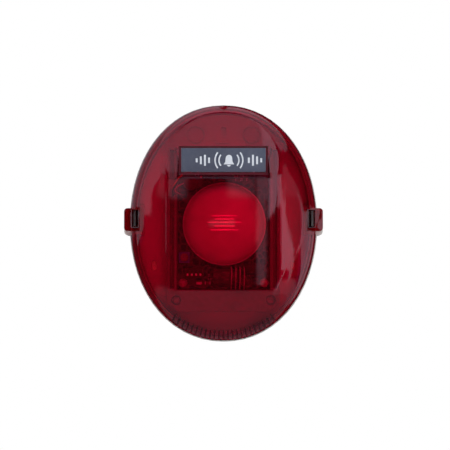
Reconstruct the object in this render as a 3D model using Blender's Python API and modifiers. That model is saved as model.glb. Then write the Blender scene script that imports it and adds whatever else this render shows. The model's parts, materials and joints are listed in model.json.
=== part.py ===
"""Wall-mounted horn strobe: an oval base and clear red cover, a strobe dome on a circuit
board, and a piezo horn behind the board.

Metres. The origin is the centre of the wall face. +Z is up, +X is to the right as seen from the
room, and the front faces -Y, so a point's depth is how far it stands in front of the wall.
"""

import math

import bmesh
import bpy
from mathutils import Vector

MM = 0.001
GAP = 0.3 * MM  # between pieces that rest on each other

# Outline of the cover, a slightly squared ellipse
HALF_WIDTH = 55.3 * MM
HALF_HEIGHT = 70.0 * MM
SQUARENESS = 2.1
OUTLINE_STEPS = 60

# Depths in front of the wall
BACK_PLATE = 2.5 * MM
BASE_FRONT = 16.0 * MM
LIP_FRONT = 18.0 * MM
COVER_BACK = BASE_FRONT + GAP
SKIRT_FRONT = 19.3 * MM
PLATEAU = 46.0 * MM  # at the middle of the cover
CHASSIS_BACK = 13.5 * MM
CHASSIS_FLOOR = 15.5 * MM
CHASSIS_FRONT = 22.0 * MM
BOARD_BACK = CHASSIS_FLOOR + GAP
BOARD_FRONT = BOARD_BACK + 1.6 * MM
PARTS_BACK = BOARD_FRONT + GAP

# Base
BASE_PROUD = 0.8 * MM  # how far the base shows round the cover
LIP_OUTSET = 2.3 * MM
WALL_INSET = 3.4 * MM
FIXING_SLOT = (3.4 * MM, 7.0 * MM)
FIXING_WEB = 0.4 * MM  # thin skin left across each slot, for the wall screw to pierce
FIXING_PAD = (10.0 * MM, 13.0 * MM)
FIXING_SEAT = BACK_PLATE + 0.8 * MM
LOWER_FIXING_X = 42.0 * MM
LOWER_FIXING_Z = -25.5 * MM
UPPER_FIXING_Z = 55.5 * MM
CABLE_ENTRY_X = 17.0 * MM
CABLE_ENTRY_Z = 54.0 * MM
CABLE_ENTRY_RADIUS = 5.5 * MM
CABLE_ENTRY_GROOVE = 0.9 * MM
CABLE_ENTRY_WEB = 0.7 * MM

# Cover
COVER_WALL = 2.0 * MM
DOME_HEIGHT = 28.5 * MM
DOME_FULLNESS = 4.0  # how far out the dome stays high
DOME_ROUNDNESS = 2.2  # how round it is at its edge
CREASE_X = 33.5 * MM
CREASE_TOP = 26.5 * MM
CREASE_BOTTOM = -40.0 * MM
SIDE_SLOPE = math.radians(20)
TOP_SLOPE = math.radians(12)
BOTTOM_SLOPE = math.radians(20)
CREASE_SOFTNESS = 0.35 * MM
CROWN_RADIUS = 0.6  # the front face is very slightly crowned
DOME_SEGMENTS = 48
DOME_RINGS = 11
SLOT_COUNT = 23
SLOT_WIDTH = 1.0 * MM
SLOT_PITCH = 2.79 * MM
SLOT_REACH = 0.91  # where the slots start, as a fraction of the way from centre to edge

# Side lugs and their latches
LUG_Z = (-5.0 * MM, 8.6 * MM)
LUG_X = (49.0 * MM, 59.0 * MM)
LUG_BACK = COVER_BACK - 0.1 * MM
LUG_FRONT = 27.0 * MM
LUG_SLOPE = math.radians(12)  # its front falls away towards its outer edge
WINDOW_X = (50.5 * MM, 54.2 * MM)
WINDOW_Z = (-2.7 * MM, 7.5 * MM)
BASE_EAR_Z = (-7.2 * MM, 9.0 * MM)
BASE_EAR_X = 59.4 * MM
LATCH_X = (52.1 * MM, 53.8 * MM)
LATCH_ROOT = 3.2 * MM
LATCH_TIP = 25.5 * MM

# Nameplate and its recess
PLATE_SIZE = (49.3 * MM, 14.1 * MM)
PLATE_THICKNESS = 0.8 * MM
PLATE_CENTRE_Z = 36.0 * MM
PLATE_TILT = math.radians(13)
RECESS_FLOOR = 40.4 * MM
RECESS_DRAFT = math.radians(12)
RECESS_MARGIN = 1.2 * MM  # its floor shows this much round the plate
RECESS_TUB = (30.0 * MM, 11.65 * MM)  # half width and half height of the tub behind it

# Chassis tray
TRAY_HALF_WIDTH = 33.5 * MM
TRAY_TOP = 45.0 * MM
TRAY_BOTTOM = -52.7 * MM
TRAY_CHAMFER = (6.5 * MM, 4.7 * MM)
POCKET_HALF_WIDTH = 27.8 * MM
POCKET_BOTTOM = -40.0 * MM
CHASSIS_SCREWS = [
    (-26.0 * MM, 42.4 * MM),
    (26.0 * MM, 42.4 * MM),
    (-28.0 * MM, -46.0 * MM),
    (28.0 * MM, -46.0 * MM),
]

# Circuit board
BOARD_HALF_WIDTH = 27.3 * MM
BOARD_Z = (-39.4 * MM, 38.9 * MM)
BOARD_SCREW_X = 24.3 * MM
BOARD_SCREW_Z = 35.8 * MM

# Screws
SHANK_RADIUS = 1.4 * MM
SCREW_HEAD_RADIUS = 2.7 * MM
SCREW_HEAD_HEIGHT = 1.7 * MM
SCREW_LENGTH = 7.5 * MM

# Horn, centred behind the board
HORN_Z = -4.0 * MM
HORN_RADIUS = 24.0 * MM
HORN_FRONT = CHASSIS_BACK - GAP
HORN_BACK = 4.3 * MM
SOUNDER_SEAT = 7.2 * MM
SOUNDER_RADIUS = 20.6 * MM
SOUNDER_THICKNESS = 0.3 * MM
DUCT_HALF_WIDTH = 14.0 * MM
DUCT_BOTTOM = -53.0 * MM

# Strobe
STROBE_X = 0.5 * MM
STROBE_Z = -0.5 * MM
LENS_RADIUS = 24.0 * MM
LENS_FLANGE_RADIUS = 24.8 * MM
LENS_FRONT = 41.6 * MM
LENS_WALL = 1.8 * MM
TROUGH_LENGTH = 16.8 * MM
TROUGH_HEIGHT = 8.4 * MM
TROUGH_FRONT = 31.0 * MM
TUBE_RADIUS = 1.8 * MM
TUBE_DEPTH = 27.6 * MM
TUBE_HALF = 8.9 * MM
TUBE_END = 10.6 * MM

# Terminal block
TERMINAL_COUNT = 4
TERMINAL_PITCH = 5.08 * MM
TERMINAL_Z = (30.6 * MM, 38.6 * MM)
TERMINAL_SCREW_Z = 34.2 * MM
TERMINAL_FRONT = 28.7 * MM

# DIP switch
DIP_CENTRE = (-17.5 * MM, -29.8 * MM)
DIP_COUNT = 4
DIP_PITCH = 2.54 * MM
DIP_FRONT = PARTS_BACK + 5.0 * MM

# Volume trimmer
TRIMMER_CENTRE = (-23.3 * MM, -20.6 * MM)
TRIMMER_FRONT = PARTS_BACK + 4.5 * MM


def at(x, depth, z):
    """World position from a depth in front of the wall."""
    return Vector((x, -depth, z))


# Objects and materials


def clear_scene():
    for obj in list(bpy.data.objects):
        bpy.data.objects.remove(obj, do_unlink=True)


def new_collection(name, hidden=False):
    collection = bpy.data.collections.new(name)
    collection.hide_render = hidden
    bpy.context.scene.collection.children.link(collection)
    return collection


def new_material(name, color, roughness, metallic=0.0, transmission=0.0):
    material = bpy.data.materials.new(name)
    material.use_nodes = True
    shader = material.node_tree.nodes["Principled BSDF"]
    shader.inputs["Base Color"].default_value = (*color, 1.0)
    shader.inputs["Roughness"].default_value = roughness
    shader.inputs["Metallic"].default_value = metallic
    shader.inputs["Transmission Weight"].default_value = transmission
    return material


def place(obj, material):
    """Puts a sub-part in the horn strobe's collection, and a tool, which has no material, apart."""
    if material is None:
        TOOLS.objects.link(obj)
        obj.hide_render = True
        obj.display_type = "WIRE"
        return obj
    PIECES.objects.link(obj)
    obj.data.materials.clear()
    obj.data.materials.append(material)
    return obj


def from_bmesh(name, bm, material):
    mesh = bpy.data.meshes.new(name)
    bm.to_mesh(mesh)
    bm.free()
    return place(bpy.data.objects.new(name, mesh), material)


def evaluated_mesh(obj):
    bpy.context.view_layer.update()
    graph = bpy.context.evaluated_depsgraph_get()
    return bpy.data.meshes.new_from_object(obj.evaluated_get(graph))


def baked(obj, material):
    """The object's evaluated mesh as a plain mesh object, in place of a curve or its modifiers."""
    name = obj.name
    mesh = evaluated_mesh(obj)
    bm = bmesh.new()
    bm.from_mesh(mesh)
    bmesh.ops.remove_doubles(bm, verts=bm.verts, dist=1e-6)
    bm.to_mesh(mesh)
    bm.free()
    matrix = obj.matrix_world.copy()
    bpy.data.objects.remove(obj, do_unlink=True)
    solid = bpy.data.objects.new(name, mesh)
    solid.matrix_world = matrix
    return place(solid, material)


def round_off(obj, degrees=35):
    """Smooth shading that keeps the real edges sharp."""
    obj.data.shade_smooth()
    obj.data.set_sharp_from_angle(angle=math.radians(degrees))


# Solids


def block(name, x, depth, z, material=None):
    """A block from its (low, high) ranges along x, depth and z."""
    bm = bmesh.new()
    bmesh.ops.create_cube(bm, size=1.0)
    size = Vector((x[1] - x[0], depth[1] - depth[0], z[1] - z[0]))
    bmesh.ops.scale(bm, vec=size, verts=bm.verts)
    obj = from_bmesh(name, bm, material)
    obj.location = at(sum(x) / 2, sum(depth) / 2, sum(z) / 2)
    return obj


def rod(name, radius, start, end, material=None, segments=24):
    """A cylinder between two world points."""
    along = end - start
    bm = bmesh.new()
    bmesh.ops.create_cone(
        bm,
        cap_ends=True,
        segments=segments,
        radius1=radius,
        radius2=radius,
        depth=along.length,
    )
    obj = from_bmesh(name, bm, material)
    obj.location = (start + end) / 2
    obj.rotation_mode = "QUATERNION"
    obj.rotation_quaternion = along.to_track_quat("Z", "Y")
    if material:
        round_off(obj)
    return obj


def bore(name, radius, x, z, depth, segments=24):
    """A cutter for a round hole along the depth."""
    return rod(name, radius, at(x, depth[0], z), at(x, depth[1], z), segments=segments)


def turned(name, profile, x, z, material=None, steps=32, ring=False):
    """A solid of revolution about the depth axis through (x, z). The profile's (radius, depth)
    points run from the front down the outer side."""
    mesh = bpy.data.meshes.new(name)
    points = [(radius, 0.0, depth) for radius, depth in profile]
    edges = [(i, i + 1) for i in range(len(points) - 1)]
    if ring:
        edges.append((len(points) - 1, 0))
    mesh.from_pydata(points, edges, [])
    obj = bpy.data.objects.new(name, mesh)
    bpy.context.scene.collection.objects.link(obj)
    screw = obj.modifiers.new("Screw", "SCREW")
    screw.steps = steps
    screw.render_steps = steps
    screw.use_merge_vertices = True
    screw.merge_threshold = 1e-6
    obj.location = at(x, 0.0, z)
    obj.rotation_euler = (math.pi / 2, 0.0, 0.0)
    solid = baked(obj, material)
    if material:
        round_off(solid)
    return solid


def flat_outline(name, points, depth, material=None):
    """A flat outline, given as (x, z) points, between two depths."""
    curve = bpy.data.curves.new(name, "CURVE")
    curve.dimensions = "2D"
    curve.fill_mode = "BOTH"
    curve.extrude = (depth[1] - depth[0]) / 2
    spline = curve.splines.new("POLY")
    spline.points.add(len(points) - 1)
    for point, (x, z) in zip(spline.points, points):
        point.co = (x, z, 0.0, 1.0)
    spline.use_cyclic_u = True
    obj = bpy.data.objects.new(name, curve)
    bpy.context.scene.collection.objects.link(obj)
    obj.location = at(0.0, sum(depth) / 2, 0.0)
    obj.rotation_euler = (math.pi / 2, 0.0, 0.0)
    return baked(obj, material)


def wire(name, points, radius, material, resolution=1):
    """A round wire through world points."""
    curve = bpy.data.curves.new(name, "CURVE")
    curve.dimensions = "3D"
    curve.bevel_depth = radius
    curve.bevel_resolution = resolution
    curve.use_fill_caps = True
    spline = curve.splines.new("POLY")
    spline.points.add(len(points) - 1)
    for point, where in zip(spline.points, points):
        point.co = (*where, 1.0)
    obj = bpy.data.objects.new(name, curve)
    bpy.context.scene.collection.objects.link(obj)
    round_off(baked(obj, material), 60)


def boolean(obj, tool, operation):
    modifier = obj.modifiers.new(tool.name, "BOOLEAN")
    modifier.operation = operation
    modifier.object = tool


def cut(obj, *tools):
    for tool in tools:
        boolean(obj, tool, "DIFFERENCE")


def join(obj, *tools):
    for tool in tools:
        boolean(obj, tool, "UNION")


# Outlines


def oval(outset=0.0, steps=OUTLINE_STEPS):
    """The cover's outline, grown by outset."""
    points = []
    for i in range(steps):
        angle = 2 * math.pi * i / steps
        points.append(
            (
                (HALF_WIDTH + outset) * squared(math.cos(angle)),
                (HALF_HEIGHT + outset) * squared(math.sin(angle)),
            )
        )
    return points


def squared(value):
    """A sine or cosine bent so that the ellipse comes out slightly squared."""
    return math.copysign(abs(value) ** (2 / SQUARENESS), value)


def rounded_rectangle(x, z, radii, steps=4):
    """Corner radii run anticlockwise from the lower left corner."""
    corners = [(x[0], z[0], 1, 1), (x[1], z[0], -1, 1), (x[1], z[1], -1, -1), (x[0], z[1], 1, -1)]
    points = []
    for turn, ((cx, cz, sx, sz), radius) in enumerate(zip(corners, radii)):
        if radius == 0:
            points.append((cx, cz))
            continue
        for i in range(steps + 1):
            angle = math.pi + math.pi / 2 * (turn + i / steps)
            points.append(
                (
                    cx + sx * radius + radius * math.cos(angle),
                    cz + sz * radius + radius * math.sin(angle),
                )
            )
    return points


def mirrored(values, side):
    """An x range on the right, or its mirror image on the left."""
    return tuple(sorted(side * value for value in values))


# Cover


def cover_depth(x, z):
    """Depth of the cover's outer face: a dome cut by a crowned front and four sloping faces."""
    reach = (abs(x) / HALF_WIDTH) ** SQUARENESS + (abs(z) / HALF_HEIGHT) ** SQUARENESS
    reach = min(reach ** (1 / SQUARENESS), 1.0)
    crown = PLATEAU - (x * x + z * z) / (2 * CROWN_RADIUS)
    surfaces = [
        SKIRT_FRONT + DOME_HEIGHT * (1 - reach**DOME_FULLNESS) ** (1 / DOME_ROUNDNESS),
        crown,
        crown - math.tan(SIDE_SLOPE) * (abs(x) - CREASE_X),
        crown - math.tan(TOP_SLOPE) * (z - CREASE_TOP),
        crown - math.tan(BOTTOM_SLOPE) * (CREASE_BOTTOM - z),
    ]
    lowest = min(surfaces)
    spread = sum(math.exp((lowest - value) / CREASE_SOFTNESS) for value in surfaces)
    return lowest - CREASE_SOFTNESS * math.log(spread)


def dome_shell():
    """Half a sphere bent into the cover's outer face, open at the back."""
    bm = bmesh.new()
    bmesh.ops.create_uvsphere(
        bm, u_segments=DOME_SEGMENTS, v_segments=2 * DOME_RINGS, radius=1.0
    )
    low = [v for v in bm.verts if v.co.z < -1e-4]
    bmesh.ops.delete(bm, geom=low, context="VERTS")
    for vertex in bm.verts:
        reach = min(math.hypot(vertex.co.x, vertex.co.y), 1.0)
        angle = math.atan2(vertex.co.y, vertex.co.x)
        x = HALF_WIDTH * reach * squared(math.cos(angle))
        z = HALF_HEIGHT * reach * squared(math.sin(angle))
        vertex.co = at(x, cover_depth(x, z), z)
    return bm


def extrude_rim(bm, depth):
    """Takes the open edge straight back to a depth, and returns the new points."""
    rim = [e for e in bm.edges if e.is_boundary]
    grown = bmesh.ops.extrude_edge_only(bm, edges=rim)["geom"]
    verts = [g for g in grown if isinstance(g, bmesh.types.BMVert)]
    for vertex in verts:
        vertex.co.y = -depth
    return verts


def dome_block(name, sink):
    """The room under the cover's outer face, sunk back by a small distance, as a solid tool."""
    bm = dome_shell()
    rim = extrude_rim(bm, 0.0)
    bmesh.ops.contextual_create(bm, geom=rim)
    bmesh.ops.recalc_face_normals(bm, faces=bm.faces)
    obj = from_bmesh(name, bm, None)
    obj.location = at(0.0, -sink, 0.0)
    return obj


def sound_slots():
    """One tool of narrow blocks that fan out from the middle of the cover along its lower edge."""
    length = HALF_HEIGHT * (1 - SLOT_REACH) * 2
    depth = (SKIRT_FRONT - 1.4 * MM, PLATEAU)
    bm = bmesh.new()
    for i in range(SLOT_COUNT):
        x = (i - (SLOT_COUNT - 1) / 2) * SLOT_PITCH
        edge = -HALF_HEIGHT * (1 - (abs(x) / HALF_WIDTH) ** SQUARENESS) ** (1 / SQUARENESS)
        outward = Vector((x, 0.0, edge)).normalized()
        made = bmesh.ops.create_cube(bm, size=1.0)["verts"]
        bmesh.ops.scale(bm, vec=(SLOT_WIDTH, depth[1] - depth[0], length), verts=made)
        turn = Vector((0.0, 0.0, -1.0)).rotation_difference(outward)
        bmesh.ops.rotate(bm, matrix=turn.to_matrix(), verts=made)
        middle = Vector((x, 0.0, edge)) * SLOT_REACH + outward * length / 2
        bmesh.ops.translate(bm, vec=middle + at(0.0, sum(depth) / 2, 0.0), verts=made)
    return from_bmesh("sound_slot_tool", bm, None)


def recess_tools(room):
    """The tub that backs the nameplate's recess, and the drafted cutter that opens it."""
    tub = block(
        "recess_tub_tool",
        (-RECESS_TUB[0], RECESS_TUB[0]),
        (RECESS_FLOOR - COVER_WALL, PLATEAU + 2 * MM),
        (PLATE_CENTRE_Z - RECESS_TUB[1], PLATE_CENTRE_Z + RECESS_TUB[1]),
    )
    for vertex in tub.data.vertices:
        if vertex.co.y > 0:
            vertex.co.y += math.tan(PLATE_TILT) * vertex.co.z
    boolean(tub, room, "INTERSECT")
    tall = 9.0 * MM
    half = (PLATE_SIZE[0] / 2 + RECESS_MARGIN, PLATE_SIZE[1] / 2 + RECESS_MARGIN)
    cutter = block("recess_tool", (-half[0], half[0]), (0.0, tall), (-half[1], half[1]))
    spread = tall * math.tan(RECESS_DRAFT)
    for vertex in cutter.data.vertices:
        if vertex.co.y < 0:
            vertex.co.x += math.copysign(spread, vertex.co.x)
            vertex.co.z += math.copysign(spread, vertex.co.z)
        vertex.co.y -= tall / 2
    cutter.location = at(0.0, RECESS_FLOOR, PLATE_CENTRE_Z)
    cutter.rotation_euler = (PLATE_TILT, 0.0, 0.0)
    return tub, cutter


def lug_outline(side):
    return rounded_rectangle(mirrored((LUG_X[0] - 1.2 * MM, LUG_X[1]), side), LUG_Z, ear_radii(side))


def build_cover():
    bm = dome_shell()
    extrude_rim(bm, COVER_BACK)
    bmesh.ops.recalc_face_normals(bm, faces=bm.faces)
    shell = from_bmesh("front_cover", bm, RED_CLEAR)
    solidify = shell.modifiers.new("Wall", "SOLIDIFY")
    solidify.thickness = COVER_WALL
    solidify.offset = -1
    solidify.use_even_offset = True
    cover = baked(shell, RED_CLEAR)

    room = dome_block("under_cover_tool", 1.0 * MM)
    for side, name in ((-1, "left"), (1, "right")):
        backing = block(
            f"lug_backing_{name}_tool",
            mirrored((LUG_X[0] - 2.2 * MM, LUG_X[1]), side),
            (COVER_BACK + 2.2 * MM, PLATEAU),
            (LUG_Z[0] - 2.2 * MM, LUG_Z[1] + 2.2 * MM),
        )
        boolean(backing, room, "INTERSECT")
        lug = flat_outline(f"lug_{name}_tool", lug_outline(side), (LUG_BACK, LUG_FRONT + 1 * MM))
        notch = block(
            f"lug_notch_{name}_tool",
            mirrored((LUG_X[0], LUG_X[1] + 2 * MM), side),
            (LUG_FRONT, PLATEAU),
            (LUG_Z[0] - GAP, LUG_Z[1] + GAP),
        )
        for vertex in notch.data.vertices:
            if vertex.co.y > 0:
                outward = abs(notch.location.x + vertex.co.x) - LUG_X[0]
                vertex.co.y += math.tan(LUG_SLOPE) * outward
        window = block(
            f"latch_window_{name}_tool",
            mirrored(WINDOW_X, side),
            (COVER_BACK - 2 * MM, PLATEAU),
            WINDOW_Z,
        )
        join(cover, backing, lug)
        cut(cover, notch, window)

    tub, recess = recess_tools(room)
    join(cover, tub)
    cut(cover, recess, sound_slots())
    round_off(baked(cover, RED_CLEAR), 30)


def build_nameplate():
    half = (PLATE_SIZE[0] / 2, PLATE_SIZE[1] / 2)
    outline = rounded_rectangle((-half[0], half[0]), (-half[1], half[1]), [0.6 * MM] * 4, 3)
    plate = flat_outline("nameplate", outline, (GAP, GAP + PLATE_THICKNESS), PLATE_GREY)
    plate.location = at(0.0, RECESS_FLOOR + GAP + PLATE_THICKNESS / 2, PLATE_CENTRE_Z)
    plate.rotation_euler.x += PLATE_TILT


# Base and latches


def centred_outline(x, z, size, radius):
    """A rounded rectangle from its centre and its width and height."""
    across, up = size[0] / 2, size[1] / 2
    return rounded_rectangle((x - across, x + across), (z - up, z + up), [radius] * 4)


def ear_radii(side):
    """Corner radii of an ear: round on its outer side only."""
    outer = 2.0 * MM
    return (0, outer, outer, 0) if side > 0 else (outer, 0, 0, outer)


def build_base():
    base = flat_outline("base_housing", oval(BASE_PROUD), (0.0, BASE_FRONT), LIGHT_GREY)
    lip = flat_outline("base_lip_tool", oval(-LIP_OUTSET), (BACK_PLATE, LIP_FRONT))
    room = flat_outline("base_room_tool", oval(-WALL_INSET), (BACK_PLATE, LIP_FRONT + 2 * MM))
    join(base, lip)
    cut(base, room)
    for side, name in ((-1, "left"), (1, "right")):
        x = mirrored((LUG_X[0] - 0.6 * MM, BASE_EAR_X), side)
        outline = rounded_rectangle(x, BASE_EAR_Z, ear_radii(side))
        ear = flat_outline(f"base_ear_{name}_tool", outline, (GAP, BASE_FRONT + 1 * MM))
        lip_gap = block(
            f"lip_gap_{name}_tool",
            mirrored((LUG_X[0] - 3 * MM, BASE_EAR_X + 2 * MM), side),
            (BASE_FRONT - GAP, LIP_FRONT + 2 * MM),
            (LUG_Z[0] - 3 * MM, LUG_Z[1] + 3 * MM),
        )
        pocket = block(
            f"latch_pocket_{name}_tool",
            mirrored((WINDOW_X[0] - 0.2 * MM, WINDOW_X[1]), side),
            (LATCH_ROOT - GAP, BASE_FRONT + 2 * MM),
            (WINDOW_Z[0] - 0.2 * MM, WINDOW_Z[1] + 0.2 * MM),
        )
        join(base, ear)
        cut(base, lip_gap, pocket)
    for i, (x, z) in enumerate(CHASSIS_SCREWS, 1):
        tall = (BACK_PLATE - 1 * MM, CHASSIS_BACK - GAP)
        boss = bore(f"chassis_boss_{i}_tool", 3.3 * MM, x, z, tall)
        hole = bore(f"boss_hole_{i}_tool", SHANK_RADIUS + GAP, x, z, (5 * MM, BASE_FRONT), 16)
        join(base, boss)
        cut(base, hole)
    fixings = [
        (-LOWER_FIXING_X, LOWER_FIXING_Z),
        (LOWER_FIXING_X, LOWER_FIXING_Z),
        (0.0, UPPER_FIXING_Z),
    ]
    for i, (x, z) in enumerate(fixings, 1):
        pad = centred_outline(x, z, FIXING_PAD, 1.5 * MM)
        slot = centred_outline(x, z, FIXING_SLOT, FIXING_SLOT[0] * 0.49)
        join(base, flat_outline(f"fixing_pad_{i}_tool", pad, (BACK_PLATE - 1 * MM, FIXING_SEAT)))
        cut(base, flat_outline(f"fixing_slot_{i}_tool", slot, (FIXING_WEB, FIXING_SEAT + 1 * MM)))
    groove = [
        (CABLE_ENTRY_RADIUS - CABLE_ENTRY_GROOVE, BACK_PLATE + 1 * MM),
        (CABLE_ENTRY_RADIUS, BACK_PLATE + 1 * MM),
        (CABLE_ENTRY_RADIUS, CABLE_ENTRY_WEB),
        (CABLE_ENTRY_RADIUS - CABLE_ENTRY_GROOVE, CABLE_ENTRY_WEB),
    ]
    for x in (-CABLE_ENTRY_X, CABLE_ENTRY_X):
        cut(base, turned("cable_entry_tool", groove, x, CABLE_ENTRY_Z, steps=28, ring=True))
    round_off(baked(base, LIGHT_GREY), 30)


def build_latch(side, name):
    """A spring tongue that stands in the base's ear, drawn from the side and turned upright."""
    root = at(side * sum(LATCH_X) / 2, LATCH_ROOT, sum(WINDOW_Z) / 2)
    half = (LATCH_X[1] - LATCH_X[0]) / 2
    profile = [
        (-half, 0.0),
        (half, 0.0),
        (half, LATCH_TIP - LATCH_ROOT - 1.8 * MM),
        (half * 0.2, LATCH_TIP - LATCH_ROOT),
        (-half, LATCH_TIP - LATCH_ROOT),
    ]
    width = WINDOW_Z[1] - WINDOW_Z[0] - 1.0 * MM
    outline = [(side * x, depth) for x, depth in profile]
    tongue = flat_outline(f"latch_{name}", outline, (-width / 2, width / 2), BLACK)
    tongue.location = root
    tongue.rotation_euler = (math.pi, 0.0, 0.0)


# Chassis and circuit board


def tray_outline():
    """The tray's front view: a tall rectangle with its lower corners cut off."""
    across, up = TRAY_CHAMFER
    half = TRAY_HALF_WIDTH
    return [
        (-half, TRAY_BOTTOM + up),
        (-half + across, TRAY_BOTTOM),
        (half - across, TRAY_BOTTOM),
        (half, TRAY_BOTTOM + up),
        (half, TRAY_TOP),
        (-half, TRAY_TOP),
    ]


def build_chassis():
    tray = flat_outline("chassis_frame", tray_outline(), (CHASSIS_BACK, CHASSIS_FRONT), DARK_GREY)
    pocket = block(
        "tray_pocket_tool",
        (-POCKET_HALF_WIDTH, POCKET_HALF_WIDTH),
        (CHASSIS_FLOOR, CHASSIS_FRONT + 1 * MM),
        (POCKET_BOTTOM, TRAY_TOP + 1 * MM),
    )
    groove = 1.6 * MM
    rail = (POCKET_HALF_WIDTH + groove, TRAY_HALF_WIDTH - groove)
    cut(tray, pocket)
    for side, name in ((-1, "left"), (1, "right")):
        channel = block(
            f"rail_channel_{name}_tool",
            mirrored(rail, side),
            (CHASSIS_FLOOR + 1 * MM, CHASSIS_FRONT + 1 * MM),
            (POCKET_BOTTOM + 1 * MM, TRAY_TOP - groove),
        )
        cut(tray, channel)
    mouth = block(
        "horn_mouth_tool",
        (-22 * MM, 22 * MM),
        (CHASSIS_BACK - 1 * MM, CHASSIS_FRONT - 2 * MM),
        (TRAY_BOTTOM - 1 * MM, POCKET_BOTTOM - 2 * MM),
    )
    lead_notch = block(
        "lead_notch_tool",
        (-TRAY_HALF_WIDTH - 1 * MM, -POCKET_HALF_WIDTH + 1 * MM),
        (CHASSIS_BACK - 1 * MM, CHASSIS_FRONT + 1 * MM),
        (16.0 * MM, 26.5 * MM),
    )
    cut(tray, mouth, lead_notch)
    for i, (x, z) in enumerate(CHASSIS_SCREWS, 1):
        sink = bore(
            f"chassis_sink_{i}_tool",
            SCREW_HEAD_RADIUS + GAP,
            x,
            z,
            (CHASSIS_FLOOR, CHASSIS_FRONT + 2 * MM),
        )
        hole = bore(
            f"chassis_hole_{i}_tool",
            SHANK_RADIUS + GAP,
            x,
            z,
            (CHASSIS_BACK - 1 * MM, CHASSIS_FLOOR + 1 * MM),
            16,
        )
        cut(tray, sink, hole)
    for i, (x, z) in enumerate(board_screw_places(), 1):
        hole = bore(f"tray_hole_{i}_tool", SHANK_RADIUS + GAP, x, z, (0.0, CHASSIS_FRONT), 16)
        cut(tray, hole)
    baked(tray, DARK_GREY)


def board_screw_places():
    return [(sx * BOARD_SCREW_X, sz * BOARD_SCREW_Z) for sz in (1, -1) for sx in (-1, 1)]


def build_board():
    board = block(
        "circuit_board",
        (-BOARD_HALF_WIDTH, BOARD_HALF_WIDTH),
        (BOARD_BACK, BOARD_FRONT),
        BOARD_Z,
        BOARD_GREEN,
    )
    for i, (x, z) in enumerate(board_screw_places(), 1):
        hole = bore(f"board_hole_{i}_tool", SHANK_RADIUS + GAP, x, z, (0.0, CHASSIS_FRONT), 16)
        cut(board, hole)


def screw_mesh():
    """A pan-head screw with a cross recess, its head's underside at the origin, pointing to the front."""
    profile = [
        (0.0, SCREW_HEAD_HEIGHT),
        (SCREW_HEAD_RADIUS * 0.7, SCREW_HEAD_HEIGHT * 0.92),
        (SCREW_HEAD_RADIUS, SCREW_HEAD_HEIGHT * 0.45),
        (SCREW_HEAD_RADIUS, 0.0),
        (SHANK_RADIUS, 0.0),
        (SHANK_RADIUS, -SCREW_LENGTH + 1 * MM),
        (SHANK_RADIUS * 0.3, -SCREW_LENGTH),
        (0.0, -SCREW_LENGTH),
    ]
    screw = turned("screw_blank", profile, 0.0, 0.0, STEEL, steps=14)
    arm = 1.5 * MM
    thin = 0.35 * MM
    recess = (SCREW_HEAD_HEIGHT * 0.45, SCREW_HEAD_HEIGHT * 1.5)
    across = block("screw_recess_tool", (-arm, arm), recess, (-thin, thin))
    deeper = (recess[0] - 0.1 * MM, recess[1])
    upright = block("screw_recess_tool", (-thin, thin), deeper, (-arm, arm))
    cut(screw, across, upright)
    solid = baked(screw, STEEL)
    round_off(solid)
    mesh = solid.data
    bpy.data.objects.remove(solid, do_unlink=True)
    return mesh


def place_screws(mesh, names, places, seat):
    """Screws that share one mesh, each standing on a seat depth."""
    for name, (x, z) in zip(names, places):
        screw = bpy.data.objects.new(name, mesh)
        screw.location = at(x, seat + GAP, z)
        screw.rotation_euler = (math.pi / 2, 0.0, 0.0)
        PIECES.objects.link(screw)


def build_screws():
    mesh = screw_mesh()
    chassis = [f"chassis_screw_{i}" for i in range(1, len(CHASSIS_SCREWS) + 1)]
    place_screws(mesh, chassis, CHASSIS_SCREWS, CHASSIS_FLOOR)
    places = board_screw_places()
    board = [f"board_screw_{i}" for i in range(1, len(places) + 1)]
    place_screws(mesh, board, places, BOARD_FRONT)


# Horn


def build_horn_body():
    profile = [
        (0.0, HORN_FRONT),
        (HORN_RADIUS - 1 * MM, HORN_FRONT),
        (HORN_RADIUS, HORN_FRONT - 1 * MM),
        (HORN_RADIUS, HORN_BACK),
        (SOUNDER_RADIUS + 0.8 * MM, HORN_BACK),
        (SOUNDER_RADIUS + 0.8 * MM, SOUNDER_SEAT),
        (SOUNDER_RADIUS - 2.2 * MM, SOUNDER_SEAT),
        (SOUNDER_RADIUS - 3.0 * MM, HORN_FRONT - 1.5 * MM),
        (0.0, HORN_FRONT - 1.5 * MM),
    ]
    horn = turned("horn_body", profile, 0.0, HORN_Z, BLACK, steps=32)
    duct = block(
        "duct_tool",
        (-DUCT_HALF_WIDTH, DUCT_HALF_WIDTH),
        (SOUNDER_SEAT + 0.4 * MM, HORN_FRONT - 0.2 * MM),
        (DUCT_BOTTOM, HORN_Z - HORN_RADIUS + 5 * MM),
    )
    passage = block(
        "duct_passage_tool",
        (-DUCT_HALF_WIDTH + 1.5 * MM, DUCT_HALF_WIDTH - 1.5 * MM),
        (SOUNDER_SEAT + 1.9 * MM, HORN_FRONT - 1.7 * MM),
        (DUCT_BOTTOM - 1 * MM, HORN_Z - 10 * MM),
    )
    lead_hole = rod(
        "lead_hole_tool",
        1.9 * MM,
        at(-26 * MM, 5.4 * MM, 12 * MM),
        at(-15 * MM, 5.4 * MM, 5.0 * MM),
        segments=16,
    )
    join(horn, duct)
    cut(horn, passage, lead_hole)
    round_off(baked(horn, BLACK))


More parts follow.
